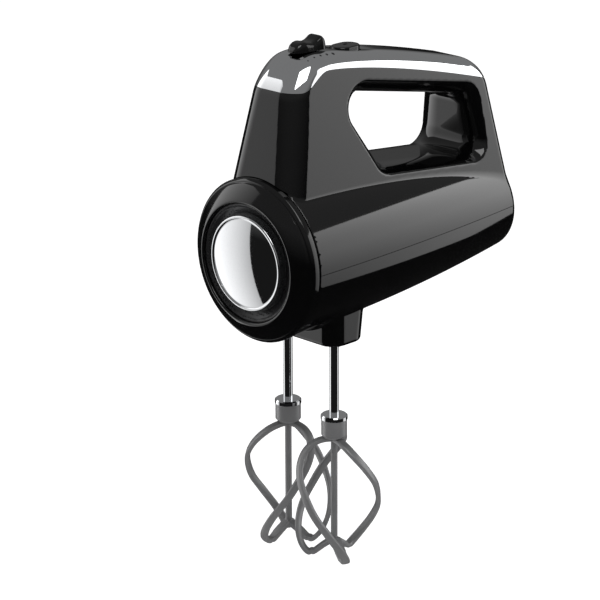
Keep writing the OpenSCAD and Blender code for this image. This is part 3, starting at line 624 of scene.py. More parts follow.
# ---- Meshes ----
@dataclass
class Skin:
    """A surface: points, triangles and the outward direction at each point."""

    points: Array
    faces: Array
    normals: Array

    def clip(self, level: Array) -> "Skin":
        """Keeps the part where a value is above 0.

        Each triangle is kept, dropped, or cut along the line where the value is 0; the cut point of an
        edge is made once, at the share of the edge that the two values give.

        Args:
            level: The value at each point.

        Returns:
            The surface that is left.
        """
        level = np.where(np.abs(level) < 1e-4, 1e-4, level)
        keep = level[self.faces] > 0.0
        count = keep.sum(1)
        whole = self.faces[count == 3]
        corners = [whole]

        def turned(mask: Array, want: bool) -> Array:
            """The faces of a mask, turned so that the odd corner comes first.

            Args:
                mask: Which faces are turned.
                want: Whether the odd corner is one that is kept.

            Returns:
                The turned faces.
            """
            f, k = self.faces[mask], keep[mask]
            first = np.argmax(k == want, axis=1)
            index = (first[:, None] + np.arange(3)) % 3
            return np.take_along_axis(f, index, axis=1)

        one, two = turned(count == 1, True), turned(count == 2, False)
        pairs = [one[:, [0, 1]], one[:, [0, 2]], two[:, [0, 1]], two[:, [0, 2]]]
        flat = np.sort(np.concatenate(pairs), axis=1)
        if len(flat):
            unique, back = np.unique(flat, axis=0, return_inverse=True)
            back = back.reshape(-1) + len(self.points)
            a, b = unique.T
            share = (level[a] / (level[a] - level[b]))[:, None]
            new_points = self.points[a] + share * (self.points[b] - self.points[a])
            new_normals = self.normals[a] + share * (self.normals[b] - self.normals[a])
            n1, n2 = len(one), len(two)
            p, q, s, t = back[:n1], back[n1 : 2 * n1], back[2 * n1 : 2 * n1 + n2], back[2 * n1 + n2 :]
            corners.append(np.stack([one[:, 0], p, q], axis=1))
            corners.append(np.stack([s, two[:, 1], two[:, 2]], axis=1))
            corners.append(np.stack([s, two[:, 2], t], axis=1))
            points = np.concatenate([self.points, new_points])
            normals = np.concatenate([self.normals, new_normals])
        else:
            points, normals = self.points, self.normals
        faces = np.concatenate(corners)
        used, index = np.unique(faces, return_inverse=True)
        normals = normals[used] / np.linalg.norm(normals[used], axis=1, keepdims=True)
        return Skin(points[used], index.reshape(-1, 3), normals)

    def thick(self, wall: float | Array) -> "Solid":
        """A closed wall: the surface, its copy pushed in by the wall, and a strip round every border.

        Args:
            wall: The thickness in mm, or one for each point.

        Returns:
            The closed mesh.
        """
        n = len(self.points)
        inner = self.points - self.normals * (wall if np.isscalar(wall) else wall[:, None])
        edges = np.concatenate([self.faces[:, [0, 1]], self.faces[:, [1, 2]], self.faces[:, [2, 0]]])
        key = edges[:, 0] * np.int64(n) + edges[:, 1]
        twin = edges[:, 1] * np.int64(n) + edges[:, 0]
        rim = edges[~np.isin(key, twin)]
        a, b = rim.T
        strips = np.concatenate([np.stack([b, a, a + n], 1), np.stack([b, a + n, b + n], 1)])
        faces = np.concatenate([self.faces, self.faces[:, ::-1] + n, strips])
        points = np.concatenate([self.points, inner])
        corner = np.concatenate([self.normals[self.faces], -self.normals[self.faces[:, ::-1]]])
        e1, e2 = points[strips[:, 1]] - points[strips[:, 0]], points[strips[:, 2]] - points[strips[:, 0]]
        side = np.cross(e1, e2)
        side /= np.maximum(np.linalg.norm(side, axis=1, keepdims=True), 1e-9)
        return Solid(points, faces, np.concatenate([corner, np.repeat(side[:, None, :], 3, axis=1)]))


@dataclass
class Solid:
    """A closed mesh with a direction for every corner of every face."""

    points: Array
    faces: Array
    corner_normals: Array | None = None


def skin_of(shape: Field, low: tuple, high: tuple, pitch: float) -> Skin:
    """The surface of a field.

    The field is sampled on a grid and its zero surface is made into quads. Each point is then moved
    onto the field three times by field / slope^2 * slope, and the slope gives its outward direction.

    Args:
        shape: The field.
        low: Lowest corner of the grid.
        high: Highest corner of the grid.
        pitch: Distance between samples.

    Returns:
        The surface as triangles.
    """
    axes = [np.arange(a, b + pitch, pitch) for a, b in zip(low, high)]
    gx, gy, gz = np.meshgrid(*axes, indexing="ij")
    values = shape(np.stack([gx.ravel(), gy.ravel(), gz.ravel()], axis=1)).reshape(gx.shape)
    grid = openvdb.FloatGrid(background=3.0 * pitch)
    grid.copyFromArray(np.clip(values, -3.0 * pitch, 3.0 * pitch).astype(np.float32))
    points, _, quads = grid.convertToPolygons(isovalue=0.0, adaptivity=0.0)
    points = points.astype(float) * pitch + np.array(low)
    for _ in range(3):
        g = slope(shape, points)
        move = shape(points) / np.maximum((g * g).sum(1), 0.2)
        points = points - g * np.clip(move, -pitch, pitch)[:, None]
    quads = quads.astype(np.int64)
    faces = np.concatenate([quads[:, [0, 1, 2]], quads[:, [0, 2, 3]]])
    g = slope(shape, points)
    normals = g / np.linalg.norm(g, axis=1, keepdims=True)
    p0, p1, p2 = points[faces[:, 0]], points[faces[:, 1]], points[faces[:, 2]]
    area = np.cross(p1 - p0, p2 - p0)
    if (area * normals[faces[:, 0]]).sum() < 0.0:
        faces = faces[:, ::-1]
    return Skin(points, faces, normals)


def join(*solids: Solid) -> Solid:
    """Several closed meshes as one.

    Returns:
        The joined mesh.
    """
    start, points, faces, corners = 0, [], [], []
    for s in solids:
        if s.corner_normals is None:
            s = with_flat_normals(s)
        points.append(s.points)
        faces.append(s.faces + start)
        corners.append(s.corner_normals)
        start += len(s.points)
    return Solid(np.concatenate(points), np.concatenate(faces), np.concatenate(corners))


def with_flat_normals(s: Solid) -> Solid:
    """A mesh whose corner directions are averaged where neighbouring faces turn less than about 35 degrees.

    Args:
        s: The mesh.

    Returns:
        The mesh with a direction for each corner of each face.
    """
    p = s.points[s.faces]
    flat = np.cross(p[:, 1] - p[:, 0], p[:, 2] - p[:, 0])
    size = np.linalg.norm(flat, axis=1, keepdims=True)
    unit = flat / np.maximum(size, 1e-12)
    total = np.zeros_like(s.points)
    for k in range(3):
        np.add.at(total, s.faces[:, k], flat)
    total /= np.maximum(np.linalg.norm(total, axis=1, keepdims=True), 1e-12)
    corner = total[s.faces]
    sharp = (corner * unit[:, None, :]).sum(2) < 0.86
    corner[sharp] = np.repeat(unit[:, None, :], 3, axis=1)[sharp]
    return Solid(s.points, s.faces, corner)


def grid_faces(rows: int, columns: int, wrap_rows: bool = False, wrap_columns: bool = True) -> Array:
    """Quads between neighbouring points of a rows by columns grid, as triangles.

    Args:
        rows: Rows of points.
        columns: Points in a row.
        wrap_rows: Whether the last row joins the first.
        wrap_columns: Whether the last point of a row joins the first.

    Returns:
        The triangles, as rows of three point numbers.
    """
    i = np.arange(rows if wrap_rows else rows - 1)
    j = np.arange(columns if wrap_columns else columns - 1)
    i, j = (v.ravel() for v in np.meshgrid(i, j, indexing="ij"))
    i2, j2 = (i + 1) % rows, (j + 1) % columns
    a, b, c, d = i * columns + j, i2 * columns + j, i2 * columns + j2, i * columns + j2
    return np.concatenate([np.stack([a, b, c], 1), np.stack([a, c, d], 1)])


def turned_profile(
    profile: Array, turns: int = 160, axis: str = "x", centre: tuple = (0.0, 0.0, 0.0)
) -> Solid:
    """A closed loop of (radius, height) points carried round an axis: radius * cos, radius * sin and height.

    Args:
        profile: The loop's points, the last joined to the first.
        turns: Steps round the axis.
        axis: "x" or "z".
        centre: The point that the profile's origin is put at.

    Returns:
        The closed mesh.
    """
    a = np.linspace(0.0, 2.0 * np.pi, turns, endpoint=False)
    r, h = profile[:, :1], profile[:, 1:]
    u, v, w = r * np.cos(a), r * np.sin(a), h + 0.0 * a
    order = (w, u, v) if axis == "x" else (u, v, w)
    points = np.stack([c.ravel() for c in order], axis=1) + np.array(centre)
    return outward(Solid(points, grid_faces(len(profile), turns, wrap_rows=True)))


def outward(s: Solid) -> Solid:
    """A closed mesh with its faces turned outwards, by the sign of its volume.

    Args:
        s: The mesh.

    Returns:
        The welded mesh, its faces turned outwards.
    """
    _, first, same = np.unique(np.round(s.points, 6), axis=0, return_index=True, return_inverse=True)
    s = Solid(s.points[first], same.reshape(-1)[s.faces])
    p = s.points[s.faces] - s.points.mean(0)
    volume = (p[:, 0] * np.cross(p[:, 1], p[:, 2])).sum()
    faces = s.faces if volume > 0.0 else s.faces[:, ::-1]
    area = np.cross(p[:, 1] - p[:, 0], p[:, 2] - p[:, 0])
    keep = np.linalg.norm(area, axis=1) > 1e-9
    return Solid(s.points, faces[keep], None)


def rounded(points: list, radii: list, steps: int = 5) -> Array:
    """A closed outline with each corner rounded: its two tangent points joined by a quadratic curve.

    Args:
        points: The corners.
        radii: Length cut back along both sides at each corner.
        steps: Segments in each rounding.

    Returns:
        The outline's points.
    """
    p = np.array(points, float)
    out = []
    for i, r in enumerate(radii):
        here, before, after = p[i], p[i - 1], p[(i + 1) % len(p)]
        if r <= 0.0:
            out.append(here[None, :])
            continue
        a = here + (before - here) * min(r / np.linalg.norm(before - here), 0.49)
        b = here + (after - here) * min(r / np.linalg.norm(after - here), 0.49)
        t = np.linspace(0.0, 1.0, steps + 1)[:, None]
        out.append((1 - t) ** 2 * a + 2 * t * (1 - t) * here + t * t * b)
    return np.concatenate(out)


def smooth_path(points: list, steps: int) -> Array:
    """A path through points.

    Catmull-Rom, each stretch the cubic through its ends with their neighbours' slopes.

    Args:
        points: The points, in order.
        steps: Points made in each stretch.

    Returns:
        The points of the path.
    """
    p = np.array(points, float)
    p = np.concatenate([2 * p[:1] - p[1:2], p, 2 * p[-1:] - p[-2:-1]])
    t = np.linspace(0.0, 1.0, steps, endpoint=False)[None, :, None]
    a, b, c, d = (p[k : len(p) - 3 + k, None, :] for k in range(4))
    curve = 0.5 * (2 * b + (c - a) * t + (2 * a - 5 * b + 4 * c - d) * t**2 + (3 * b - a - 3 * c + d) * t**3)
    return np.concatenate([curve.reshape(-1, p.shape[1]), p[-2:-1]])


class Workshop:
    """Puts meshes into the scene, dressed, riding and standing for their CAD nodes."""

    def __init__(self) -> None:
        """Takes the place of the layout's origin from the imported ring."""
        low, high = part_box("front_ring")
        ring_front = -7.4
        self.origin = np.array(
            [low.x * 1000.0 - ring_front, (low.y + high.y) * 500.0, (low.z + high.z) * 500.0]
        )

    def add(self, name: str, solid: Solid, body: str, slot: str, *nodes: str) -> bpy.types.Object:
        """Makes one piece.

        Args:
            name: The piece's name.
            solid: Its closed mesh, in the layout's millimetres.
            body: The CAD body it moves with.
            slot: Its material slot in the record.
            nodes: The CAD nodes that it stands for.

        Returns:
            The new object.
        """
        if solid.corner_normals is None:
            solid = with_flat_normals(solid)
        mesh = bpy.data.meshes.new(name)
        points = ((solid.points + self.origin) * MM).astype(np.float32)
        mesh.from_pydata(points, [], solid.faces)
        mesh.validate()
        mesh.polygons.foreach_set("use_smooth", np.ones(len(mesh.polygons), bool))
        if len(mesh.polygons) == len(solid.faces):
            mesh.normals_split_custom_set(solid.corner_normals.reshape(-1, 3))
        mesh.update()
        made = bpy.data.objects.new(name, mesh)
        bpy.context.scene.collection.objects.link(made)
        mesh.materials.append(finish_of(slot if slot in FINISHES else "mark_ink"))
        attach(made, body)
        if nodes:
            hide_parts(*nodes)
        slot != "mark_ink"
        log.info("%s: %d triangles on %s", name, len(solid.faces), body)
        return made


def tube(x: float, y: float, inner: float, outer: float, low: float, high: float, turns: int = 40) -> Solid:
    """An upright tube."""
    loop = np.array([[inner, low], [outer, low], [outer, high], [inner, high]])
    return turned_profile(loop, turns, "z", (x, y, 0.0))


@dataclass
class Housing:
    """The two black shells and the bright trim over the handle."""

    layout: Layout
    pitch: float = 1.1
    wall: float = 2.2
    trim_t: float = 1.4
    roof_gap: float = 1.8
    slot_x: tuple[float, float] = (27.3, 42.7)
    slot_half: float = 3.2
    button: tuple[float, float] = (18.4, 13.4)
    inlet: tuple[float, float] = (158.0, 5.8)
    screw_spots: tuple = ((13.0, 15.0), (148.0, 14.0))
    screw_r: float = 3.4

    def slot_gap(self, p: Array, grow: float = 0.0) -> Array:
        """Distance outside the lever's slot and the button's hole, seen from above.

        Args:
            p: The points, as rows of x, y and z in mm.
            grow: How much wider the holes are than the pieces, in mm.

        Returns:
            The distance outside the shape at each point, negative inside it.
        """
        x, y = p[:, 0], p[:, 1]
        mid, half = sum(self.slot_x) / 2, (self.slot_x[1] - self.slot_x[0]) / 2
        slot = both(np.abs(x - mid) - half - grow, np.abs(y) - self.slot_half - grow, 0.8)
        length, width = self.button
        run = np.maximum(np.abs(x - self.layout.button_x) - (length - width) / 2, 0.0)
        oval = np.hypot(run, y) - width / 2 - grow
        return np.where(p[:, 2] > 60.0, np.minimum(slot, oval), 99.0)

    def holes(self, p: Array) -> Array:
        """Distance outside the spindle holes and screw holes in the underside.

        Args:
            p: The points, as rows of x, y and z in mm.

        Returns:
            The distance outside the shape at each point, negative inside it.
        """
        x, y = p[:, 0], np.abs(p[:, 1])
        away = np.hypot(x - self.layout.spindle_x, y - self.layout.spindle_y) - 5.8
        for sx, sy in self.screw_spots:
            away = np.minimum(away, np.hypot(x - sx, y - sy) - self.screw_r)
        return np.where(p[:, 2] < -20.0, away, 99.0)

    def inlet_gap(self, p: Array) -> Array:
        """Distance outside the cord inlet's hole on the far side."""
        away = np.hypot(p[:, 0] - self.inlet[0], p[:, 2]) - self.inlet[1]
        return np.where(p[:, 1] > 15.0, away, 99.0)

    def upper(self) -> Solid:
        """The upper shell.

        The whole shell over the seam and under the trim's border, and the roof under the trim.

        Returns:
            The closed mesh.
        """
        lay = self.layout
        skin = skin_of(lay.shell, (-2.0, -47.0, -4.0), (182.0, 47.0, 110.0), self.pitch)
        skin = skin.clip(skin.points[:, 2] - lay.seam)
        skin = skin.clip(lay.trim_line(skin.points[:, 0]) - 0.15 - skin.points[:, 2])
        ring_gap = np.hypot(skin.points[:, 1], skin.points[:, 2]) - lay.ring_r - 0.3
        skin = skin.clip(np.maximum(ring_gap, skin.points[:, 0] - lay.front_x + 0.6))
        skin = skin.clip(self.inlet_gap(skin.points))
        roof = skin_of(lambda p: lay.grip(p) + self.roof_gap, (0.0, -30.0, 66.0), (166.0, 30.0, 108.0), 1.6)
        roof = roof.clip(roof.points[:, 2] - lay.trim_line(roof.points[:, 0]) + 1.5)
        roof = roof.clip(roof.points[:, 2] - 68.0)
        roof = roof.clip(self.slot_gap(roof.points, -0.4))
        return join(skin.thick(self.wall), roof.thick(1.6))

    def lower(self) -> Solid:
        """The lower shell with its nose, the spindle bosses and the screw wells.

        Returns:
            The closed mesh.
        """
        lay = self.layout
        skin = skin_of(lay.lower, (2.0, -47.0, -53.0), (186.0, 47.0, 4.0), self.pitch)
        skin = skin.clip(-lay.seam - skin.points[:, 2])
        skin = skin.clip(self.holes(skin.points))
        skin = skin.clip(self.inlet_gap(skin.points))
        parts = [skin.thick(self.wall)]
        for side in (-1, 1):
            parts.append(tube(lay.spindle_x, side * lay.spindle_y, 5.8, 7.6, lay.nose_bottom + 1.0, -38.0))
            for x, y in self.screw_spots:
                low = -math.sqrt(lay.barrel_r(x) ** 2 - (y + 4.0) ** 2) + 0.9
                parts.append(tube(x, side * y, self.screw_r, 4.2, low, -11.4))
        return join(*parts)

    def trim(self) -> Solid:
        """The bright trim: the handle's surface over the border, less the slot and the button's hole.

        Returns:
            The closed mesh.
        """
        lay = self.layout
        skin = skin_of(lay.grip, (-2.0, -30.0, 66.0), (172.0, 30.0, 110.0), 0.9)
        skin = skin.clip(skin.points[:, 2] - lay.trim_line(skin.points[:, 0]) - 0.15)
        skin = skin.clip(skin.points[:, 2] - 67.5)
        skin = skin.clip(self.slot_gap(skin.points))
        return skin.thick(self.trim_t)

    def marks(self) -> Solid:
        """Small plain dots of growing size beside the lever's slot, laid on the trim's surface.

        Returns:
            The closed mesh.
        """
        lay = self.layout
        spots = [(28.0 + 4.6 * k, -11.2, 0.35 + 0.13 * k) for k in range(5)]
        parts = []
        for x, y, r in spots:
            a = np.linspace(0.0, 2 * np.pi, 20, endpoint=False)
            ring = np.stack([x + r * np.cos(a), y + r * np.sin(a), np.full(20, 104.0)], 1)
            flat = np.concatenate([ring, [[x, y, 104.0]]])
            for _ in range(12):
                g = slope(lay.handle, flat)
                flat[:, 2] -= lay.handle(flat) / np.maximum(g[:, 2], 0.3)
            g = slope(lay.handle, flat)
            g /= np.linalg.norm(g, axis=1, keepdims=True)
            fan = np.stack([np.full(20, 20), np.arange(20), (np.arange(20) + 1) % 20], 1)
            parts.append(Skin(flat + 0.05 * g, fan, g).thick(0.25))
        return join(*parts)

    def build(self, shop: Workshop) -> None:
        """Adds the shells, the trim and the marks.

        Args:
            shop: The workshop that the pieces are added to.
        """
        shop.add("upper_shell", self.upper(), "housing", "black_housing", "upper_housing")
        shop.add("lower_shell", self.lower(), "housing", "black_housing", "lower_housing")
        shop.add("bright_trim", self.trim(), "housing", "bright_chrome", "top_trim")
        shop.add("speed_marks", self.marks(), "housing", "mark_ink")


@dataclass
class FrontEnd:
    """The ring round the barrel's front, the pricked recess and the bright disc."""

    ring_r: float = 44.0
    front_x: float = -7.4
    recess_r: float = 31.8
    disc_r: float = 25.6

    def ring(self) -> Solid:
        """The ring.

        A slightly bulging cone, x = front * (1 - u^1.2)^(1 / 1.2), with a fine groove near its rim.

        Returns:
            The closed mesh.
        """
        lip = self.recess_r + 1.2
        u = np.concatenate([np.linspace(0.0, 0.9, 24), np.linspace(0.92, 1.0, 12)])
        r, x = lip + (self.ring_r - lip) * u, self.front_x * (1.0 - u**1.2) ** (1 / 1.2)
        groove = 0.35 * np.exp(-(((r - 42.0) / 0.22) ** 2))
        face = np.stack([r, x + groove], 1)
        loop = np.concatenate([
            [[self.recess_r, 4.2], [self.recess_r, self.front_x + 1.3], [
                self.recess_r + 0.25, self.front_x + 0.5
            ]],
            [[self.recess_r + 0.6, self.front_x + 0.12]], face,
            [[self.ring_r, 2.4], [
                self.ring_r - 0.2, 2.9
            ], [self.ring_r - 0.6, 3.2], [self.ring_r - 2.0, 3.6]],
            [[self.ring_r - 2.0, 4.2]],
        ])
        return turned_profile(loop, 192)

    def recess(self) -> Solid:
        """The recess: a shallow slope in to the disc, with a raised bead at its outer edge.

        Returns:
            The closed mesh.
        """
        r = self.recess_r
        loop = rounded(
            [[9.0, -2.4], [9.0, 3.6], [r, 3.6], [r, -5.8], [
                r - 1.2, -5.8
            ], [r - 1.9, -4.9], [27.2, -3.2], [25.9, -2.3]],
            [0.0, 0.0, 0.0, 0.5, 0.5, 0.5, 0.6, 0.4], 4,
        )
        return turned_profile(loop, 160)

    def disc(self) -> Solid:
        """The disc: a dome, x = -7.2 - 2.4 * (1 - (r / rim)^2), inside a rolled rim.

        Returns:
            The closed mesh.
        """
        t = np.linspace(0.0, 1.0, 28)
        dome = np.stack([(self.disc_r - 1.7) * t, -7.2 - 2.4 * (1.0 - t * t)], 1)
        rim = self.disc_r - 1.0 + 0.9 * np.sin(np.linspace(-1.2, 1.57, 9))
        roll = -7.35 - 0.62 * np.cos(np.linspace(-1.2, 1.57, 9))
        loop = np.concatenate([[[0.0, -2.6]], dome, np.stack([rim, roll], 1), [[self.disc_r - 0.1, -2.6]]])
        return turned_profile(loop, 160)

    def build(self, shop: Workshop) -> None:
        """Adds the three round pieces.

        Args:
            shop: The workshop that the pieces are added to.
        """
        shop.add("front_bezel", self.ring(), "housing", "black_trim", "front_ring")
        shop.add("pricked_recess", self.recess(), "housing", "black_matte", "front_recess")
        shop.add("bright_disc", self.disc(), "housing", "bright_chrome", "front_disc")


@dataclass
class Beater:
    """One wire cage: three twisted blades round a rod, with a web at the foot of each."""

    layout: Layout
    side: int
    name: str
    hub_bottom: float = -104.7
    cage_h: float = 68.5
    cage_r: float = 25.4
    foot_r: float = 12.0
    blade_w: float = 5.0
    blade_t: float = 2.8
    twist: float = 115.0
    rod_r: float = 1.85
    foot_rise: float = 9.0

    def path(self) -> Array:
        """A blade's path as [radius.

        Depth]: out from the rod, round, in to the tip and up to the rod's end.

        Returns:
            The points, as rows of radius and depth in mm.
        """
        r, wide = self.cage_r - self.blade_t / 2, self.cage_h * 0.56
        a = np.radians([2, 8, 16, 26, 40, 55, 72, 90])
        top = [[r * math.sin(v) ** 0.8, 1.2 + (wide - 1.2) * (1 - math.cos(v) ** 0.8)] for v in a]
        b = np.radians([72, 54, 36, 20, 9])
        low = [[
            self.foot_r + (r - self.foot_r) * math.sin(v), wide + (self.cage_h - wide) * math.cos(v)
        ] for v in b]
        web = [
            [self.foot_r - 1.0, self.cage_h - 0.9], [self.foot_r / 2, self.cage_h - self.foot_rise / 2 - 0.4]
        ]
        return smooth_path(
            top + low + [[self.foot_r + 0.4, self.cage_h - 1.0]] + web + [[0.6, self.cage_h - 8.6]], 6
        )

    def blade(self) -> Solid:
        """A rounded flat section carried along the path, turned about the axis in step with the depth.

        Returns:
            The closed mesh.
        """
        path = self.path()
        way = np.gradient(path, axis=0)
        way /= np.linalg.norm(way, axis=1, keepdims=True)
        k = np.linspace(0.0, 2 * np.pi, 16, endpoint=False)
        power = 0.55
        cw = np.sign(np.cos(k)) * np.abs(np.cos(k)) ** power * self.blade_w / 2
        ct = np.sign(np.sin(k)) * np.abs(np.sin(k)) ** power * self.blade_t / 2
        last = np.arange(len(path)) > len(path) - 13
        depth_of_turn = np.where(last, self.cage_h, path[:, 1])
        depth_of_turn = np.convolve(np.pad(depth_of_turn, 3, mode="edge"), np.ones(7) / 7, mode="valid")
        turn = np.radians(self.twist) * depth_of_turn / self.cage_h
        broad = np.where(last, 1.25, 1.0)
        broad = np.convolve(np.pad(broad, 3, mode="edge"), np.ones(7) / 7, mode="valid")
        r = path[:, :1] + ct * way[:, 1:]
        z = -(path[:, 1:] - ct * way[:, :1])
        w = cw * broad[:, None]
        c, s = np.cos(turn)[:, None], np.sin(turn)[:, None]
        x, y = r * c - w * s, r * s + w * c
        n = len(path)
        points = np.concatenate([np.stack([x.ravel(), y.ravel(), z.ravel()], 1)])
        ends = np.stack([points[:16].mean(0), points[-16:].mean(0)])
        ring, nxt = np.arange(16), (np.arange(16) + 1) % 16
        caps = [np.stack([np.full(16, n * 16), nxt, ring], 1)]
        caps.append(np.stack([np.full(16, n * 16 + 1), (n - 1) * 16 + ring, (n - 1) * 16 + nxt], 1))
        faces = np.concatenate([grid_faces(n, 16), *caps])
        return outward(Solid(np.concatenate([points, ends]), faces))

    def cage(self) -> Solid:
        """The three blades and the rod, with a rounded end where the webs meet.

        Returns:
            The closed mesh.
        """
        end = -self.cage_h + self.foot_rise - 2.2
        loop = rounded([[0.0, 0.2], [self.rod_r, 0.2], [self.rod_r, end], [0.0, end]], [0, 0, 1.5, 0], 6)
        parts = [turned_profile(loop, 32, "z")]
        blade = self.blade()
        for k in range(3):
            a = math.radians(15.0 + 120.0 * k)
            turn = np.array([[math.cos(a), -math.sin(a), 0], [math.sin(a), math.cos(a), 0], [0, 0, 1]])
            parts.append(Solid(blade.points @ turn.T, blade.faces))
        whole = join(*parts)
        points, faces = whole.points, whole.faces
        if self.side > 0:
            points, faces = points * [1, -1, 1], faces[:, ::-1]
            a = math.radians(60.0)
            points = points @ np.array(
                [[math.cos(a), -math.sin(a), 0], [math.sin(a), math.cos(a), 0], [0, 0, 1]]
            ).T
        place = np.array([self.layout.spindle_x, self.side * self.layout.spindle_y, self.hub_bottom])
        return Solid(points + place, faces)

    def build(self, shop: Workshop) -> None:
        """Adds the cage."""
        beater = f"{self.name}_beater"
        shop.add(f"{self.name}_blades", self.cage(), beater, "satin_metal", f"{beater}_cage")


@dataclass
class Controls:
    """The speed lever and the turbo button."""

    layout: Layout
    base: float = 105.9

    def lever(self) -> Solid:
        """The lever: a saddle whose height and width change along it, its sides leaning in and its edges
        rounded.

        Across each section the outline is a superellipse half, so that the top is rounded at its sides.

        Returns:
            The closed mesh.
        """
        along = np.array([27.0, 27.6, 29.0, 31.0, 33.5, 36.0, 38.5, 41.0, 43.0, 44.8, 46.0, 46.5])
        height = np.array([0.5, 2.2, 3.9, 4.9, 5.3, 4.7, 4.3, 4.9, 6.0, 7.0, 6.7, 5.6])
        width = np.array([1.8, 3.2, 4.3, 5.0, 5.4, 5.6, 5.8, 6.0, 6.3, 6.5, 6.4, 5.8])
        x = np.linspace(along[0], along[-1], 60)
        h, w = np.interp(x, along, height), np.interp(x, along, width)
        kernel = np.ones(5) / 5
        h, w = (np.convolve(np.pad(v, 2, mode="edge"), kernel, mode="valid") for v in (h, w))
        k = np.linspace(0.0, np.pi, 33)
        across = np.sign(np.cos(k)) * np.abs(np.cos(k)) ** 0.42
        up = np.sin(k) ** 0.42
        lean = 1.0 - 0.16 * up
        y = (w[:, None] * across * lean)
        z = self.base + h[:, None] * up
        points = np.stack([(x[:, None] + 0 * across).ravel(), y.ravel(), z.ravel()], 1)
        n, m = len(x), len(k)
        ends = np.array([[x[0], 0.0, self.base], [x[-1], 0.0, self.base]])
        walk = np.arange(m)
        nxt = (walk + 1) % m
        caps = [np.stack([np.full(m, n * m), walk, nxt], 1)]
        caps.append(np.stack([np.full(m, n * m + 1), (n - 1) * m + nxt, (n - 1) * m + walk], 1))
        return outward(Solid(np.concatenate([points, ends]), np.concatenate([grid_faces(n, m), *caps])))

    def button(self) -> Solid:
        """The button: an oval column whose edge is rolled and whose top is slightly domed.

        Returns:
            The closed mesh.
        """
        top = float(self.layout.arch(self.layout.button_x))
        shares = np.array([1.0, 1.0, 0.985, 0.95, 0.88, 0.6, 0.3, 0.02])
        rise = np.array([-3.9, 0.3, 0.75, 1.02, 1.18, 1.32, 1.38, 1.4])
        a = np.linspace(0.0, 2 * np.pi, 96, endpoint=False)
        ox = np.sign(np.cos(a)) * 2.5 + 6.0 * np.cos(a)
        oy = 6.0 * np.sin(a)
        flange = np.array([[10.0 / 8.5, -5.1], [10.0 / 8.5, -3.9]])
        rows = np.concatenate([flange, np.stack([shares, rise], 1)])
        x = self.layout.button_x + rows[:, :1] * ox
        y = rows[:, :1] * oy
        z = top + rows[:, 1:] + 0 * ox
        n = len(rows)
        points = np.stack([x.ravel(), y.ravel(), z.ravel()], 1)
        low = np.array([[self.layout.button_x, 0.0, top - 5.1], [self.layout.button_x, 0.0, top + 1.4]])
        ring, nxt = np.arange(96), (np.arange(96) + 1) % 96
        caps = [np.stack([np.full(96, n * 96), nxt, ring], 1)]
        caps.append(np.stack([np.full(96, n * 96 + 1), (n - 1) * 96 + ring, (n - 1) * 96 + nxt], 1))
        faces = np.concatenate([grid_faces(n, 96), *caps])
        stem = turned_profile(np.array([[0.0, -9.0], [1.6, -9.0], [1.6, -4.0], [0.0, -4.0]]), 24, "z")
        stem.points += np.array([self.layout.button_x, 0.0, top])
        return join(outward(Solid(np.concatenate([points, low]), faces)), stem)

    def build(self, shop: Workshop) -> None:
        """Adds the lever and the button."""
        shop.add("lever_cap", self.lever(), "lever", "black_trim", "speed_lever")
        shop.add("turbo_cap", self.button(), "turbo", "black_trim", "turbo_button")


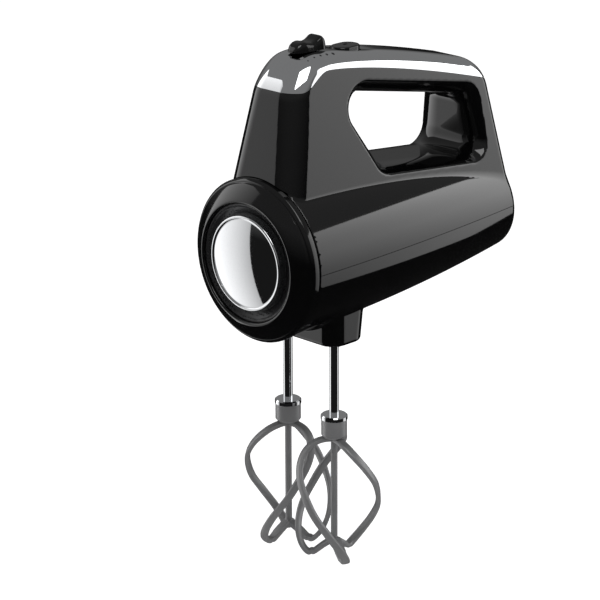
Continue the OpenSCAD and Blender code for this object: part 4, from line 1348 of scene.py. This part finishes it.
class Studio:
    """The floor, the lights and the camera."""

    eye = (-931.487, -960.436, 429.707)
    heading = 0.78730
    drop = 0.32547
    roll = -0.0047369
    lens = 162.0
    panel_far = 1.7
    dim_low, dim_high = 0.01, 0.2
    key_power = 14.0

    def __init__(self, origin: Array) -> None:
        """Keeps the layout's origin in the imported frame."""
        self.origin = origin

    def camera(self) -> None:
        """A long lens from the front left, looking a little down."""
        data = bpy.data.cameras.new("camera")
        data.lens, data.sensor_width = self.lens, 36.0
        data.clip_start, data.clip_end = 0.05, 20.0
        cam = bpy.data.objects.new("camera", data)
        bpy.context.scene.collection.objects.link(cam)
        cam.location = Vector((np.array(self.eye) + self.origin) * MM)
        c, s, ce, se = math.cos(
            self.heading
        ), math.sin(self.heading), math.cos(self.drop), math.sin(self.drop)
        forward = Vector((s * ce, c * ce, -se))
        turn = forward.to_track_quat("-Z", "Y").to_matrix() @ Matrix.Rotation(self.roll, 3, "Z")
        cam.rotation_euler = turn.to_euler()
        bpy.context.scene.camera = cam

    def floor(self) -> None:
        """A plain pale floor below the beaters, left out of reflections."""
        low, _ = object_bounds()
        mesh = bpy.data.meshes.new("floor")
        z, s = low.z - 0.11, 12.0
        mesh.from_pydata([(-s, -s, z), (s, -s, z), (s, s, z), (-s, s, z)], [], [(0, 1, 2, 3)])
        floor = bpy.data.objects.new("floor", mesh)
        bpy.context.scene.collection.objects.link(floor)
        m = Shade("pale_floor")
        pale = m.tint(m.noise(2.0), (0.93, 0.93, 0.93), (0.95, 0.95, 0.95))
        mesh.materials.append(
            m.done(Base_Color=pale, Roughness=0.9, Emission_Color=pale, Emission_Strength=0.85)
        )
        floor.visible_glossy = False
        floor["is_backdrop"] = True

    def softbox(
        self, name: str, heading: float, width: float, heights: tuple, across: list, upward: list
    ) -> None:
        """A tall soft panel that faces the mixer, with its brightness drawn across and up it.

        Args:
            name: Its name.
            heading: Its direction from the mixer, in degrees from +X.
            width: Its width in degrees.
            heights: Its lower and upper edge, in metres.
            across: Its brightness as (share of the width, brightness) from the side of the smaller heading.
            upward: A factor on that as (share of the height, factor) from its lower edge.
        """
        far, (low, high) = self.panel_far, heights
        half = far * math.tan(math.radians(width / 2))
        mesh = bpy.data.meshes.new(name)
        corners = [(0, half, low), (0, -half, low), (0, -half, high), (0, half, high)]
        mesh.from_pydata(corners, [], [(0, 1, 2, 3)])
        panel = bpy.data.objects.new(name, mesh)
        bpy.context.scene.collection.objects.link(panel)
        a = math.radians(heading)
        panel.location = (far * math.cos(a), far * math.sin(a), -0.08)
        panel.rotation_euler = (0.0, 0.0, a)
        m = Shade(name)
        peak = max(level for _, level in across)
        side = m.node("ShaderNodeSeparateXYZ", {}, {0: m.place()}, out="Y") * (0.5 / half) + 0.5
        rise = (m.node("ShaderNodeSeparateXYZ", {}, {0: m.place()}, out="Z") - low) * (1.0 / (high - low))
        wide = m.node("ShaderNodeValToRGB", {"stops": [(t, level / peak) for t, level in across]}, {0: side})
        tall = m.node("ShaderNodeValToRGB", {"stops": upward}, {0: rise})
        mesh.materials.append(
            m.done(Base_Color=(0.0, 0.0, 0.0), Emission_Color=wide * tall, Emission_Strength=peak)
        )
        panel.visible_camera = False
        panel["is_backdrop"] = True

    def surround(self) -> None:
        """A dim surround, darker below the horizon, that the camera itself sees as white."""
        world = bpy.data.worlds.new("surround")
        world.use_nodes = True
        tree = world.node_tree
        dim, seen = tree.nodes["Background"], tree.nodes.new("ShaderNodeBackground")
        seen.inputs[0].default_value = (1.0, 1.0, 1.0, 1.0)
        coords, split = tree.nodes.new("ShaderNodeTexCoord"), tree.nodes.new("ShaderNodeSeparateXYZ")
        ramp = tree.nodes.new("ShaderNodeMapRange")
        for key, value in (
            ("From Min", -0.1), ("From Max", 0.35), ("To Min", self.dim_low), ("To Max", self.dim_high)
        ):
            ramp.inputs[key].default_value = value
        path, mix = tree.nodes.new("ShaderNodeLightPath"), tree.nodes.new("ShaderNodeMixShader")
        for a, b in (
            (coords.outputs["Generated"], split.inputs[0]), (split.outputs["Z"], ramp.inputs["Value"]),
            (ramp.outputs[0], dim.inputs[0]), (path.outputs["Is Camera Ray"], mix.inputs[0]),
            (dim.outputs[0], mix.inputs[1]), (seen.outputs[0], mix.inputs[2]),
            (mix.outputs[0], tree.nodes["World Output"].inputs[0]),
        ):
            tree.links.new(a, b)
        bpy.context.scene.world = world

    def key_light(self) -> None:
        """A weak soft light from above and behind the camera."""
        data = bpy.data.lights.new("key", "AREA")
        data.shape, data.size, data.size_y, data.energy = "RECTANGLE", 1.2, 1.2, self.key_power
        light = bpy.data.objects.new("key", data)
        bpy.context.scene.collection.objects.link(light)
        light.location = (-0.6, -0.9, 1.7)
        light.rotation_euler = (-light.location).to_track_quat("-Z", "Y").to_euler()

    def build(self) -> None:
        """Adds the camera, floor, panels and surround."""
        self.camera()
        self.floor()
        rising = [(0.0, 0.25), (0.3, 0.45), (0.6, 0.8), (1.0, 1.0)]
        self.softbox("right_panel", -37.0, 34.0, (-1.02, 0.87), [
            (0.0, 1.5), (0.35, 2.1), (0.75, 3.0), (1.0, 3.2)
        ], rising)
        self.softbox("left_panel", 121.5, 43.0, (-1.6, 1.3), [
            (0.0, 1.8), (0.45, 1.3), (1.0, 0.55)
        ], [(0.0, 1.0), (1.0, 1.0)])
        self.key_light()
        self.surround()
        bpy.context.scene.view_settings.view_transform = "Standard"


def dress(frame: dict) -> None:
    """Gives every CAD node that is still shown the finish of its own material slot.

    Args:
        frame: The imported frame.
    """
    slots = {part["node"]: part["material_slot"] for part in frame["record"]["subparts"]}
    for name, node in frame["nodes"].items():
        finish = finish_of(slots[name])
        if not node.material_slots:
            node.data.materials.append(finish)
        for place in node.material_slots:
            place.material = finish


def main() -> None:
    """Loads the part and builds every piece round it."""
    logging.basicConfig(level=logging.INFO, format="%(message)s")
    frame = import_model()
    shop, layout = Workshop(), Layout()
    dress(frame)
    Housing(layout).build(shop)
    FrontEnd().build(shop)
    for side, name in ((-1, "near"), (1, "far")):
        Beater(layout, side, name).build(shop)
    Controls(layout).build(shop)
    Studio(shop.origin).build()


if __name__ == "__main__":
    main()
